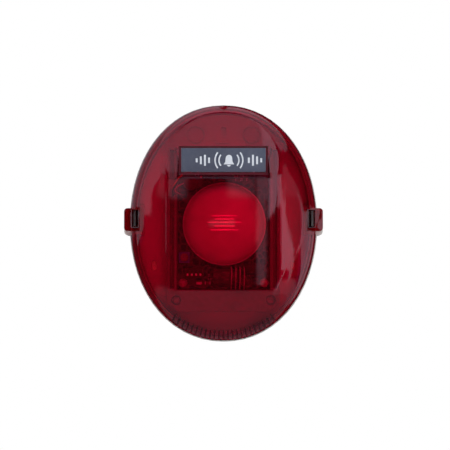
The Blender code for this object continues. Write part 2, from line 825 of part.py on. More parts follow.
def build_back_cap():
    clamp = SOUNDER_SEAT - 0.4 * MM - SOUNDER_THICKNESS - GAP
    profile = [
        (0.0, BACK_PLATE + 1.5 * MM),
        (SOUNDER_RADIUS - 1.6 * MM, BACK_PLATE + 1.5 * MM),
        (SOUNDER_RADIUS - 1.6 * MM, clamp),
        (SOUNDER_RADIUS + 0.4 * MM, clamp),
        (SOUNDER_RADIUS + 0.4 * MM, HORN_BACK - GAP),
        (HORN_RADIUS, HORN_BACK - GAP),
        (HORN_RADIUS, BACK_PLATE + GAP),
        (0.0, BACK_PLATE + GAP),
    ]
    cap = turned("horn_back_cap", profile, 0.0, HORN_Z, BLACK, steps=32)
    lead_slot = rod(
        "lead_slot_tool",
        1.9 * MM,
        at(-26 * MM, 5.4 * MM, 12 * MM),
        at(-12 * MM, 5.4 * MM, 3.0 * MM),
        segments=16,
    )
    cut(cap, lead_slot)
    round_off(baked(cap, BLACK))


def build_sounder():
    front = SOUNDER_SEAT - 0.4 * MM
    plate = [
        (0.0, front),
        (SOUNDER_RADIUS, front),
        (SOUNDER_RADIUS, front - SOUNDER_THICKNESS),
        (0.0, front - SOUNDER_THICKNESS),
    ]
    turned("sounder_plate", plate, 0.0, HORN_Z, BRASS, steps=36)
    bond = front - SOUNDER_THICKNESS - 0.05 * MM
    ceramic = [(0.0, bond), (12.5 * MM, bond), (12.5 * MM, bond - 0.25 * MM), (0.0, bond - 0.25 * MM)]
    turned("piezo_ceramic", ceramic, 0.0, HORN_Z, CERAMIC, steps=32)


def build_sounder_leads():
    """Two leads from the connector, round the board's left edge and back through the horn's side."""
    path = [
        at(-12.6 * MM, 20.6 * MM, 28.6 * MM),
        at(-16.0 * MM, 25.6 * MM, 30.0 * MM),
        at(-22.0 * MM, 26.0 * MM, 29.4 * MM),
        at(-26.5 * MM, 24.4 * MM, 26.0 * MM),
        at(-29.6 * MM, 21.0 * MM, 21.6 * MM),
        at(-30.6 * MM, 16.0 * MM, 20.2 * MM),
        at(-30.2 * MM, 9.0 * MM, 17.0 * MM),
        at(-26.6 * MM, 5.6 * MM, 12.5 * MM),
        at(-20.0 * MM, 5.4 * MM, 8.1 * MM),
        at(-13.8 * MM, 5.3 * MM, 4.0 * MM),
    ]
    middle = (len(path) - 1) / 2
    apart = [Vector((0.4 * MM * (i - middle) / middle, 0.0, 0.65 * MM)) for i in range(len(path))]
    red = [point + step for point, step in zip(path, apart)]
    black = [point - step for point, step in zip(path, apart)]
    wire("sounder_lead_red", red, 0.5 * MM, RED_WIRE)
    wire("sounder_lead_black", black, 0.5 * MM, BLACK)


# Strobe


def quarter_curve(radius, height, count, power=2.4):
    """(radius, height) points from the top of a dome to its foot."""
    points = []
    for i in range(count + 1):
        angle = math.pi / 2 * i / count
        points.append(
            (
                radius * math.sin(angle) ** (2 / power),
                height * math.cos(angle) ** (2 / power) if i < count else 0.0,
            )
        )
    return points


def build_lens():
    foot = PARTS_BACK + 2.0 * MM
    rise = LENS_FRONT - foot
    outer = [(r, foot + h) for r, h in quarter_curve(LENS_RADIUS, rise, 7)]
    inner = [(r, foot + h) for r, h in quarter_curve(LENS_RADIUS - LENS_WALL, rise - LENS_WALL, 6)]
    profile = outer
    profile += [(LENS_FLANGE_RADIUS, foot), (LENS_FLANGE_RADIUS, PARTS_BACK)]
    profile += [(LENS_RADIUS - LENS_WALL, PARTS_BACK)]
    profile += inner[::-1]
    turned("strobe_lens", profile, STROBE_X, STROBE_Z, MILKY, steps=32)


def build_reflector():
    """A white foot disc that carries an open trough behind the flash tube."""
    foot = 1.2 * MM
    profile = [
        (0.0, PARTS_BACK + foot),
        (21.5 * MM, PARTS_BACK + foot),
        (21.5 * MM, PARTS_BACK),
        (0.0, PARTS_BACK),
    ]
    disc = turned("strobe_reflector", profile, STROBE_X, STROBE_Z, CHROME, steps=32)
    half = TROUGH_LENGTH / 2
    trough = block(
        "trough_tool",
        (STROBE_X - half, STROBE_X + half),
        (PARTS_BACK + foot / 2, TROUGH_FRONT),
        (STROBE_Z - TROUGH_HEIGHT / 2, STROBE_Z + TROUGH_HEIGHT / 2),
    )
    join(disc, trough)
    hollow_radius = TROUGH_HEIGHT / 2 - 0.6 * MM
    focus = TUBE_DEPTH - 1.2 * MM
    hollow = rod(
        "trough_hollow_tool",
        hollow_radius,
        at(STROBE_X - half - 1 * MM, focus, STROBE_Z),
        at(STROBE_X + half + 1 * MM, focus, STROBE_Z),
    )
    opening = block(
        "trough_opening_tool",
        (STROBE_X - half - 2 * MM, STROBE_X + half + 2 * MM),
        (focus, TROUGH_FRONT + 1 * MM),
        (STROBE_Z - hollow_radius, STROBE_Z + hollow_radius),
    )
    cut(disc, hollow, opening)
    for side, name in ((-1, "left"), (1, "right")):
        x = STROBE_X + side * (TUBE_HALF + TUBE_END) / 2
        depth = (0.0, PARTS_BACK + 3 * MM)
        cut(disc, bore(f"tube_leg_{name}_tool", 1.0 * MM, x, STROBE_Z, depth, 12))
    round_off(baked(disc, CHROME))


def build_tube():
    rod(
        "flash_tube",
        TUBE_RADIUS,
        at(STROBE_X - TUBE_HALF + GAP, TUBE_DEPTH, STROBE_Z),
        at(STROBE_X + TUBE_HALF - GAP, TUBE_DEPTH, STROBE_Z),
        GLASS,
    )
    for side, name in ((-1, "left"), (1, "right")):
        inner = STROBE_X + side * TUBE_HALF
        outer = STROBE_X + side * TUBE_END
        cap = rod(
            f"tube_cap_{name}",
            TUBE_RADIUS + 0.2 * MM,
            at(inner, TUBE_DEPTH, STROBE_Z),
            at(outer, TUBE_DEPTH, STROBE_Z),
            STEEL,
            20,
        )
        middle = (inner + outer) / 2
        leg = rod(
            f"tube_leg_{name}_pin_tool",
            0.5 * MM,
            at(middle, PARTS_BACK, STROBE_Z),
            at(middle, TUBE_DEPTH, STROBE_Z),
            segments=10,
        )
        join(cap, leg)
        round_off(baked(cap, STEEL))


def build_trigger_wire():
    """A fine wire wound round the flash tube."""
    turns = 3
    per_turn = 9
    radius = TUBE_RADIUS + 0.55 * MM
    points = []
    for i in range(turns * per_turn + 1):
        angle = 2 * math.pi * i / per_turn
        along = STROBE_X - 6 * MM + 12 * MM * i / (turns * per_turn)
        points.append(
            at(along, TUBE_DEPTH + radius * math.sin(angle), STROBE_Z + radius * math.cos(angle))
        )
    wire("trigger_wire", points, 0.22 * MM, STEEL, 0)


# Parts on the board


def chamfered_block(name, x, depth, z, material, width=0.4 * MM):
    obj = block(name, x, depth, z, material)
    bevel = obj.modifiers.new("Edges", "BEVEL")
    bevel.width = width
    bevel.segments = 1
    return obj


def build_power_parts():
    radius = 4.9 * MM
    z = -32.4 * MM
    flash = rod(
        "flash_capacitor",
        radius,
        at(-6.2 * MM, PARTS_BACK + radius, z),
        at(8.8 * MM, PARTS_BACK + radius, z),
        BLACK,
        28,
    )
    bevel = flash.modifiers.new("Sleeve", "BEVEL")
    bevel.width = 0.5 * MM
    bevel.segments = 2
    bevel.limit_method = "ANGLE"
    height = PARTS_BACK + 10.5 * MM
    can = [
        (0.0, height - 0.3 * MM),
        (2.9 * MM, height - 0.3 * MM),
        (3.5 * MM, height),
        (3.8 * MM, height - 0.4 * MM),
        (3.8 * MM, PARTS_BACK),
        (0.0, PARTS_BACK),
    ]
    turned("filter_capacitor", can, 13.4 * MM, -34.8 * MM, BLACK, steps=24)
    chamfered_block(
        "trigger_transformer",
        (13.0 * MM, 23.0 * MM),
        (PARTS_BACK, PARTS_BACK + 7.5 * MM),
        (-30.3 * MM, -24.4 * MM),
        BLACK,
    )
    chamfered_block(
        "power_transistor",
        (18.6 * MM, 26.4 * MM),
        (PARTS_BACK, PARTS_BACK + 4.4 * MM),
        (21.4 * MM, 29.6 * MM),
        BLACK,
    )
    chamfered_block(
        "controller_chip",
        (-3.4 * MM, 5.4 * MM),
        (PARTS_BACK, PARTS_BACK + 1.6 * MM),
        (26.2 * MM, 30.0 * MM),
        BLACK,
        0.25 * MM,
    )
    chamfered_block(
        "lead_connector",
        (-11.6 * MM, -6.0 * MM),
        (PARTS_BACK, PARTS_BACK + 5.5 * MM),
        (26.9 * MM, 30.2 * MM),
        BLACK,
        0.25 * MM,
    )


def build_inductor():
    x, z = -19.8 * MM, 23.8 * MM
    top = PARTS_BACK + 6.0 * MM
    flange, neck, rim = 4.2 * MM, 2.4 * MM, 1.0 * MM
    core = [
        (0.0, top),
        (flange, top),
        (flange, top - rim),
        (neck, top - rim),
        (neck, PARTS_BACK + rim),
        (flange, PARTS_BACK + rim),
        (flange, PARTS_BACK),
        (0.0, PARTS_BACK),
    ]
    turned("inductor_core", core, x, z, FERRITE, steps=28)
    low, high = PARTS_BACK + rim + GAP, top - rim - GAP
    winding = [
        (neck + GAP, high),
        (flange - 0.3 * MM, high),
        (flange - 0.3 * MM, low),
        (neck + GAP, low),
    ]
    turned("inductor_winding", winding, x, z, COPPER, steps=28, ring=True)


def terminal_x(i):
    return (i - (TERMINAL_COUNT - 1) / 2) * TERMINAL_PITCH


def build_terminals():
    half = TERMINAL_COUNT * TERMINAL_PITCH / 2 + 0.3 * MM
    body = block(
        "terminal_block", (-half, half), (PARTS_BACK, TERMINAL_FRONT), TERMINAL_Z, TERMINAL_GREEN
    )
    chamber = (PARTS_BACK + 0.7 * MM, TERMINAL_FRONT - 4.1 * MM)
    for i in range(TERMINAL_COUNT):
        x = terminal_x(i)
        room = block(
            f"clamp_room_{i + 1}_tool",
            (x - 2.05 * MM, x + 2.05 * MM),
            chamber,
            (TERMINAL_SCREW_Z - 2.1 * MM, TERMINAL_SCREW_Z + 2.1 * MM),
        )
        entry = block(
            f"wire_entry_{i + 1}_tool",
            (x - 1.6 * MM, x + 1.6 * MM),
            (chamber[0] + 0.3 * MM, chamber[1] - 2.0 * MM),
            (TERMINAL_SCREW_Z, TERMINAL_Z[1] + 1 * MM),
        )
        neck = bore(
            f"screw_neck_{i + 1}_tool",
            1.5 * MM,
            x,
            TERMINAL_SCREW_Z,
            (chamber[1] - 1 * MM, TERMINAL_FRONT),
            16,
        )
        well = bore(
            f"screw_well_{i + 1}_tool",
            2.2 * MM,
            x,
            TERMINAL_SCREW_Z,
            (TERMINAL_FRONT - 3.3 * MM, TERMINAL_FRONT + 1 * MM),
            20,
        )
        cut(body, room, entry, neck, well)
    baked(body, TERMINAL_GREEN)
    build_terminal_screws(chamber)
    build_clamps(chamber)


def build_terminal_screws(chamber):
    """Slotted screws that turn in place in the terminal block's wells."""
    head_back = TERMINAL_FRONT - 3.0 * MM
    head_front = head_back + 1.6 * MM
    tip = chamber[0] + 2.6 * MM
    shank = 1.0 * MM
    profile = [
        (0.0, head_front),
        (1.7 * MM, head_front),
        (1.9 * MM, head_front - 0.3 * MM),
        (1.9 * MM, head_back),
        (shank, head_back),
        (shank, tip),
        (0.0, tip),
    ]
    for i in range(TERMINAL_COUNT):
        x = terminal_x(i)
        name = f"terminal_screw_{i + 1}"
        screw = turned(name, profile, x, TERMINAL_SCREW_Z, STEEL, steps=14)
        slot = block(
            f"{name}_slot_tool",
            (x - 2.5 * MM, x + 2.5 * MM),
            (head_front - 0.8 * MM, head_front + 1 * MM),
            (TERMINAL_SCREW_Z - 0.3 * MM, TERMINAL_SCREW_Z + 0.3 * MM),
        )
        cut(screw, slot)
        round_off(baked(screw, STEEL))


def build_clamps(chamber):
    """Cages that the terminal screws draw forward over the field wires."""
    low = chamber[0] + 0.3 * MM
    high = low + 4.3 * MM
    for i in range(TERMINAL_COUNT):
        x = terminal_x(i)
        name = f"terminal_clamp_{i + 1}"
        cage = block(
            name,
            (x - 1.7 * MM, x + 1.7 * MM),
            (low, high),
            (TERMINAL_SCREW_Z - 1.75 * MM, TERMINAL_SCREW_Z + 1.75 * MM),
            STEEL,
        )
        eye = block(
            f"{name}_eye_tool",
            (x - 1.15 * MM, x + 1.15 * MM),
            (low + 0.7 * MM, high - 1.1 * MM),
            (TERMINAL_SCREW_Z - 3 * MM, TERMINAL_SCREW_Z + 3 * MM),
        )
        depth = (high - 2 * MM, high + 1 * MM)
        hole = bore(f"{name}_hole_tool", 1.42 * MM, x, TERMINAL_SCREW_Z, depth, 16)
        cut(cage, eye, hole)


def build_dip_switch():
    x0, z0 = DIP_CENTRE
    half = (DIP_COUNT * DIP_PITCH / 2 + 0.7 * MM, 3.1 * MM)
    body = chamfered_block(
        "dip_switch_body",
        (x0 - half[0], x0 + half[0]),
        (PARTS_BACK, DIP_FRONT),
        (z0 - half[1], z0 + half[1]),
        BLACK,
        0.2 * MM,
    )
    for i in range(DIP_COUNT):
        x = x0 + (i - (DIP_COUNT - 1) / 2) * DIP_PITCH
        slot = block(
            f"dip_slot_{i + 1}_tool",
            (x - 0.8 * MM, x + 0.8 * MM),
            (DIP_FRONT - 1.3 * MM, DIP_FRONT + 1 * MM),
            (z0 - 2.1 * MM, z0 + 2.1 * MM),
        )
        cut(body, slot)
        chamfered_block(
            f"dip_slider_{i + 1}",
            (x - 0.5 * MM, x + 0.5 * MM),
            (DIP_FRONT - 1.0 * MM, DIP_FRONT + 0.5 * MM),
            (z0 - 1.75 * MM, z0 - 0.35 * MM),
            IVORY,
            0.12 * MM,
        )


def build_trimmer():
    x, z = TRIMMER_CENTRE
    half = 3.3 * MM
    body = chamfered_block(
        "volume_trimmer_body",
        (x - half, x + half),
        (PARTS_BACK, TRIMMER_FRONT),
        (z - half, z + half),
        TRIMMER_BLUE,
        0.3 * MM,
    )
    well = (TRIMMER_FRONT - 1.6 * MM, TRIMMER_FRONT + 1 * MM)
    cut(body, bore("trimmer_well_tool", 2.6 * MM, x, z, well, 28))
    front = TRIMMER_FRONT + 0.2 * MM
    back = TRIMMER_FRONT - 1.3 * MM
    profile = [
        (0.0, front),
        (2.1 * MM, front),
        (2.3 * MM, front - 0.2 * MM),
        (2.3 * MM, back),
        (0.0, back),
    ]
    rotor = turned("volume_trimmer_rotor", profile, x, z, DARK_GREY, steps=24)
    slot = block(
        "rotor_slot_tool",
        (x - 1.6 * MM, x + 1.6 * MM),
        (front - 0.7 * MM, front + 1 * MM),
        (z - 0.3 * MM, z + 0.3 * MM),
    )
    pointer = block(
        "rotor_pointer_tool",
        (x - 0.3 * MM, x + 0.3 * MM),
        (front - 0.6 * MM, front + 1 * MM),
        (z, z + 1.7 * MM),
    )
    cut(rotor, slot, pointer)
    round_off(baked(rotor, DARK_GREY))


def build_all():
    build_cover()
    build_nameplate()
    build_base()
    build_latch(-1, "left")
    build_latch(1, "right")
    build_chassis()
    build_board()
    build_screws()
    build_horn_body()
    build_back_cap()
    build_sounder()
    build_sounder_leads()
    build_lens()
    build_reflector()
    build_tube()
    build_trigger_wire()
    build_power_parts()
    build_inductor()
    build_terminals()
    build_dip_switch()
    build_trimmer()


clear_scene()
PIECES = new_collection("horn_strobe")
TOOLS = new_collection("cutters", hidden=True)
RED_CLEAR = new_material("red_polycarbonate", (0.45, 0.0, 0.015), 0.08, transmission=0.8)
PLATE_GREY = new_material("nameplate_grey", (0.085, 0.085, 0.12), 0.35)
LIGHT_GREY = new_material("light_grey_plastic", (0.43, 0.43, 0.42), 0.5)
DARK_GREY = new_material("dark_grey_plastic", (0.2, 0.2, 0.2), 0.55)
BLACK = new_material("black_plastic", (0.02, 0.02, 0.02), 0.45)
IVORY = new_material("ivory_plastic", (0.75, 0.72, 0.64), 0.45)
MILKY = new_material("milky_lens", (0.85, 0.85, 0.85), 0.2, transmission=0.5)
GLASS = new_material("tube_glass", (0.9, 0.9, 0.9), 0.03, transmission=1.0)
CHROME = new_material("reflector_chrome", (0.85, 0.85, 0.85), 0.12, metallic=1.0)
STEEL = new_material("zinc_steel", (0.6, 0.6, 0.6), 0.3, metallic=1.0)
BRASS = new_material("brass", (0.75, 0.55, 0.22), 0.3, metallic=1.0)
COPPER = new_material("enamelled_copper", (0.6, 0.25, 0.1), 0.35, metallic=1.0)
CERAMIC = new_material("silvered_ceramic", (0.7, 0.7, 0.68), 0.4)
FERRITE = new_material("ferrite", (0.05, 0.05, 0.055), 0.6)
BOARD_GREEN = new_material("board_green", (0.01, 0.12, 0.045), 0.35)
TERMINAL_GREEN = new_material("terminal_green", (0.02, 0.3, 0.1), 0.45)
TRIMMER_BLUE = new_material("trimmer_blue", (0.03, 0.12, 0.5), 0.4)
RED_WIRE = new_material("red_wire", (0.6, 0.02, 0.02), 0.45)
build_all()
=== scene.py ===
"""The horn strobe's looks: a fine clear cover, lens, board parts and label, built round the
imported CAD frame."""

import json
import math
import random

import bmesh
import bpy
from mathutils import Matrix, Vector


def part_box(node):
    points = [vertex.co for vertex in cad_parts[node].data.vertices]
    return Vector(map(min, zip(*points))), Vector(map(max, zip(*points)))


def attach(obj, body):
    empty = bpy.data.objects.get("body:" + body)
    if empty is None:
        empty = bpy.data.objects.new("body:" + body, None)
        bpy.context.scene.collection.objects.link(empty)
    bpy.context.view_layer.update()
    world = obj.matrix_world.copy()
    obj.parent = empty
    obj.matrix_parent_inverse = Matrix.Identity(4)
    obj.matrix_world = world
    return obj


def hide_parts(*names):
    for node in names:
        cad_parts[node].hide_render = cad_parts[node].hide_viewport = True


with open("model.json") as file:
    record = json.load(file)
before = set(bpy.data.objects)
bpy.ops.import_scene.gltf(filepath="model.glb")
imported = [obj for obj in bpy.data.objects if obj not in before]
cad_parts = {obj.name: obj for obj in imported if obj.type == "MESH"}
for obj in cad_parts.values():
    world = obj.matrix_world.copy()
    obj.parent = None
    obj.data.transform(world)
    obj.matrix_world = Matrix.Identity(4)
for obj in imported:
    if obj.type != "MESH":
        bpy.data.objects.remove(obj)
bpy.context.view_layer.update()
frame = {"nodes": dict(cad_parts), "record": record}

MM = 0.001
NODES = frame["nodes"]
SLOT_OF = {part["node"]: part["material_slot"] for part in frame["record"]["subparts"]}


def at(x, depth, z):
    """A point from its depth in front of the wall."""
    return Vector((x, -depth, z))


def node_box(name):
    """A CAD node's (low, high) ranges along x, depth and z."""
    low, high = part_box(name)
    return (low.x, high.x), (-high.y, -low.y), (low.z, high.z)


# Cover: an oval dome, cut by a flat front and by four slopes that meet it in creases
COVER_X, COVER_DEPTH, COVER_Z = node_box("front_cover")
WIDTH_TO_HEIGHT = 0.79
HALF_HEIGHT = (COVER_Z[1] - COVER_Z[0]) / 2
HALF_WIDTH = HALF_HEIGHT * WIDTH_TO_HEIGHT
COVER_BACK = COVER_DEPTH[0] + 0.1 * MM  # the lugs reach this much further back
PLATEAU = COVER_DEPTH[1]
SKIRT_FRONT = COVER_BACK + 3.0 * MM  # where the straight skirt turns into the dome
DOME_HEIGHT = 28.5 * MM
DOME_FULLNESS = 4.0
DOME_ROUNDNESS = 2.2
SQUARENESS = 2.1  # exponent of the outline, 2 for a true ellipse
CREASE_X = 33.5 * MM
CREASE_TOP = 26.5 * MM
CREASE_BOTTOM = -40.0 * MM
SIDE_SLOPE = math.radians(20)
TOP_SLOPE = math.radians(12)
BOTTOM_SLOPE = math.radians(20)
CREASE_SOFTNESS = 0.15 * MM
CROWN_RADIUS = 0.6  # the front face is very slightly crowned
WALL = 2.0 * MM
BEYOND = 2.0 * MM  # how far a cutter reaches past what it cuts
COVER_SEGMENTS, COVER_RINGS = 176, 44
ROOM_SEGMENTS, ROOM_RINGS = 96, 24

# Side lugs, each a solid block with a window for the latch
LUG_INNER = 49.0 * MM
LUG_FRONT = 27.0 * MM
LUG_SLOPE = math.radians(12)  # the lug's front falls away towards its outer edge
LUG_Z = (-5.0 * MM, 8.6 * MM)
LUG_BACKING = 2.2 * MM  # wall round the lug, inside the shell
LUG_ROOT = 1.2 * MM  # how far the lug reaches into its backing
LUG_CORNER = 2.0 * MM
LUG_EDGE = 0.5 * MM
NOTCH_GAP = 0.3 * MM
NOTCH_SINK = 0.02 * MM  # the notch cuts a little into the lug, so that no faces coincide
WINDOW_X = (50.5 * MM, 54.2 * MM)
WINDOW_Z = (-2.7 * MM, 7.5 * MM)

# Sound slots round the lower edge, and the comb whose teeth stand in them
SLOT_COUNT = 23
SLOT_WIDTH = 1.0 * MM
SLOT_PITCH = 2.79 * MM
SLOT_REACH = 0.91  # where the slots start, as a share of the way out to the outline
SLOT_SINK = 1.4 * MM  # how far the slots run down the skirt
TOOTH_REACH = (SLOT_REACH + 0.004, 0.983)
TOOTH_GAP = 0.06 * MM
TOOTH_SINK = 0.9 * MM
TOOTH_FOOT = COVER_BACK + 2.4 * MM

# Label, its recess and its gasket
LABEL_X, _, LABEL_Z = node_box("nameplate")
LABEL_MIDDLE = sum(LABEL_Z) / 2
LABEL_HALF_WIDTH = (LABEL_X[1] - LABEL_X[0]) / 2
LABEL_HEIGHT = 14.1 * MM  # along its slope
LABEL_TILT = math.radians(13)
LABEL_THICKNESS = 0.8 * MM
LABEL_LIFT = 0.3 * MM  # the gap under it
RECESS_FLOOR = 40.4 * MM
RECESS_DRAFT = math.radians(12)
RECESS_MARGIN = 1.2 * MM
RECESS_CUT = 9.0 * MM
RECESS_CORNER = 0.4 * MM
TUB_HALF_WIDTH = 30.0 * MM
TUB_HALF_HEIGHT = 11.65 * MM
GASKET_GAP = 0.1 * MM
GASKET_EDGE = 0.08 * MM
# The gasket's section: height over the recess floor and distance out from its inner face, in mm
GASKET_SECTION = ((0.15, 0.0), (0.15, 1.0), (1.7, 1.33), (1.7, 1.1), (1.1, 0.3), (1.1, 0.0))

# Label print: a bell between sound arcs and level bars
PRINT_HEIGHT = 7.4 * MM
INK_THICKNESS = 0.06 * MM
INK_GAP = 0.015 * MM
BELL_X = 3.2 * MM
BELL_TOP_GAP = 0.5 * MM
BELL_WAIST = 1.9 * MM
BELL_FLARE = 1.12
BELL_MOUTH = 3.1 * MM
BELL_FOOT = 1.3 * MM
BELL_LIP = 1.5 * MM
CLAPPER_RADII = (1.0 * MM, 0.95 * MM)
CLAPPER_GAP = 0.35 * MM
ARC_RADII = (5.6 * MM, 7.9 * MM)
ARC_WIDTH = 0.8 * MM
ARC_SHIFT = 0.6 * MM
ARC_SPREAD = 38  # degrees to each side of level
BAR_WIDTH = 1.1 * MM
BAR_START = 11.6 * MM
BAR_PITCH = 2.4 * MM
BAR_HEIGHTS = (3.2 * MM, 6.4 * MM, 4.6 * MM, 2.4 * MM)

# Strobe lens and the level prisms on its face, as (height, length) in mm
FLANGE_WIDTH = 0.8 * MM
FLANGE_HEIGHT = 2.0 * MM
LENS_WALL = 1.8 * MM
LENS_STEPS = 28
LENS_TURNS = 112
PRISM_LEVELS = ((4.0, 16.2), (2.1, 12.0), (0.2, 20.6), (-2.0, 13.0), (-4.2, 17.2))
PRISM_HEIGHT = 0.75 * MM
PRISM_SLOPE = math.tan(math.radians(19))
PRISM_SINK = 0.05 * MM
PRISM_ROOT = 0.2 * MM  # how deep a prism's lower edge runs into the dome
PRISM_SKIRT = 0.15 * MM  # how far that edge lies below the prism's ridge
PRISM_STEPS = 24
PRISM_TAPER = 6  # how steeply a prism's ends rise to its full height

# Board parts, with chips as (long, short, tall)
BOARD_X, BOARD_DEPTH, BOARD_Z = node_box("circuit_board")
PART_FEET = (-0.2 * MM, 2.5 * MM)  # heights over the board at which its CAD parts start
CHIP_SIZES = (
    (2.0 * MM, 1.25 * MM, 0.6 * MM),
    (3.2 * MM, 1.6 * MM, 0.7 * MM),
    (1.6 * MM, 0.8 * MM, 0.5 * MM),
    (4.4 * MM, 2.6 * MM, 2.1 * MM),
)
CHIP_MIX = (0, 0, 1, 1, 2, 3)  # how often each size comes up
CHIP_COUNT = 86
CHIP_TRIES = 1500
CHIP_SEED = 7
CHIP_MARGIN = 1.2 * MM
CHIP_GAP = 0.5 * MM
CHIP_BEVEL = 0.14  # of the smallest side
CHIP_LIFT = 0.05 * MM
DARK_SHARE = 0.7  # of all chips
SOLDER_LENGTH = 0.16  # of the chip's length
SOLDER_GROWTH = (1.04, 1.05)  # its width and height, as shares of the chip's
SOLDER_PAST = 0.06 * MM  # how far it reaches past the chip's end
SOLDER_LIFT = 0.03 * MM
LEAD_COUNT = 4
LEAD_START = 4.6 * MM
LEAD_PITCH = 2.5 * MM
LEAD_RISE = 11.6 * MM
LEAD_STAGGER = 0.6 * MM
LEAD_RADIUS = 0.35 * MM
COIL_LEAD_RADIUS = 0.4 * MM

# The thin webs in the base's two lower fixing slots
WEB_X = (40.6 * MM, 43.4 * MM)
WEB_Z = (-28.3 * MM, -22.7 * MM)
WEB_CLEARNESS = 0.45

# Degrees between faces that meet in a sharp edge
SHARP_ANGLE = 32
COVER_SHARP_ANGLE = 30
LENS_SHARP_ANGLE = 35

DUST_COLOR = (0.5, 0.48, 0.45)
WHITE = (1.0, 1.0, 1.0)


# Node trees


class Shader:
    """The node tree of a material or a world, built node by node."""

    def __init__(self, name):
        """A new material with an empty tree."""
        self.owner = bpy.data.materials.new(name)
        self.owner.use_nodes = True
        self.tree = self.owner.node_tree
        self.tree.nodes.clear()
        self.output = self.tree.nodes.new("ShaderNodeOutputMaterial")
        self.coords = self.tree.nodes.new("ShaderNodeTexCoord").outputs["Object"]

    @classmethod
    def of(cls, material):
        """More nodes for a material that is already built."""
        s = cls.__new__(cls)
        s.owner = material
        s.tree = material.node_tree
        s.output = next(node for node in s.tree.nodes if node.type == "OUTPUT_MATERIAL")
        s.coords = s.tree.nodes.new("ShaderNodeTexCoord").outputs["Object"]
        return s

    @classmethod
    def in_world(cls, world):
        """An empty tree for a world, whose coordinates are the directions of rays."""
        s = cls.__new__(cls)
        s.owner = world
        world.use_nodes = True
        s.tree = world.node_tree
        s.tree.nodes.clear()
        s.output = s.tree.nodes.new("ShaderNodeOutputWorld")
        s.coords = s.tree.nodes.new("ShaderNodeTexCoord").outputs["Generated"]
        return s

    def add(self, kind, settings=None, **inputs):
        """A node with its settings and inputs, whose names have _ for each space."""
        node = self.tree.nodes.new(kind)
        for key, value in (settings or {}).items():
            setattr(node, key, value)
        for key, value in inputs.items():
            self.put(node.inputs[key.replace("_", " ")], value)
        return node

    def put(self, socket, value):
        """Links another node's socket to this one, or sets this one's value."""
        if isinstance(value, bpy.types.NodeSocket):
            self.tree.links.new(value, socket)
        elif isinstance(value, tuple) and len(value) == 3 and socket.type == "RGBA":
            socket.default_value = (*value, 1.0)
        else:
            socket.default_value = value

    def math(self, operation, first, second=0.0, clamp=False):
        node = self.add("ShaderNodeMath", {"operation": operation, "use_clamp": clamp})
        self.put(node.inputs[0], first)
        self.put(node.inputs[1], second)
        return node.outputs[0]

    def noise(self, scale, low=0.0, high=1.0, detail=3.0, stretch=(1.0, 1.0, 1.0)):
        """Noise of a given scale per metre, mapped between low and high."""
        mapping = self.add("ShaderNodeMapping", Vector=self.coords, Scale=stretch)
        noise = self.add(
            "ShaderNodeTexNoise", Vector=mapping.outputs[0], Scale=scale, Detail=detail
        )
        mapped = self.add("ShaderNodeMapRange", Value=noise.outputs["Fac"])
        mapped.inputs["From Min"].default_value = 0.3
        mapped.inputs["From Max"].default_value = 0.7
        mapped.inputs["To Min"].default_value = low
        mapped.inputs["To Max"].default_value = high
        return mapped.outputs[0]

    def mix(self, factor, first, second):
        """A colour between two others."""
        node = self.add("ShaderNodeMix", {"data_type": "RGBA"})
        self.put(node.inputs["Factor"], factor)
        self.put(node.inputs[6], first)
        self.put(node.inputs[7], second)
        return node.outputs[2]

    def layer(self, factor, under, over):
        """A surface between two others, all of the upper one where the factor is 1."""
        node = self.add("ShaderNodeMixShader", Fac=factor)
        self.put(node.inputs[1], under.outputs[0])
        self.put(node.inputs[2], over.outputs[0])
        return node

    def window(self, value, ends, soft):
        """1 between two ends of a value and 0 outside, with soft edges."""
        edges = []
        for end, rising in zip(ends, (1, -1)):
            node = self.add("ShaderNodeMapRange", {"interpolation_type": "SMOOTHSTEP"}, Value=value)
            node.inputs["From Min"].default_value = end - soft * rising
            node.inputs["From Max"].default_value = end + soft * rising
            edges.append(node.outputs[0])
        return self.math("MULTIPLY", *edges)

    def slab(self, x_ends, z_ends, soft):
        """1 within an upright rectangle and its mirror image across x = 0, and 0 outside."""
        x, _, z = self.add("ShaderNodeSeparateXYZ", Vector=self.coords).outputs
        across = self.window(self.math("ABSOLUTE", x), x_ends, soft)
        return self.math("MULTIPLY", across, self.window(z, z_ends, soft))

    def bump(self, height, distance, strength, normal=None):
        node = self.add("ShaderNodeBump", Height=height, Distance=distance, Strength=strength)
        if normal is not None:
            self.put(node.inputs["Normal"], normal)
        return node.outputs[0]

    def edges(self, radius, gain=5.0):
        """1 along sharp edges within a radius, fading to 0 on the flats."""
        bevel = self.add("ShaderNodeBevel", {"samples": 4}, Radius=radius)
        geometry = self.add("ShaderNodeNewGeometry")
        dot = self.add("ShaderNodeVectorMath", {"operation": "DOT_PRODUCT"})
        self.put(dot.inputs[0], bevel.outputs[0])
        self.put(dot.inputs[1], geometry.outputs["True Normal"])
        bent = self.math("SUBTRACT", 1.0, dot.outputs["Value"])
        return self.math("MULTIPLY", bent, gain, clamp=True)

    def finish(self, surface):
        """Sends a surface node to the output, and gives the finished material or world."""
        self.put(self.output.inputs["Surface"], surface.outputs[0])
        return self.owner


def shade(color, factor):
    return tuple(min(1.0, channel * factor) for channel in color)


def paler(color, share):
    return tuple(channel + (1 - channel) * share for channel in color)


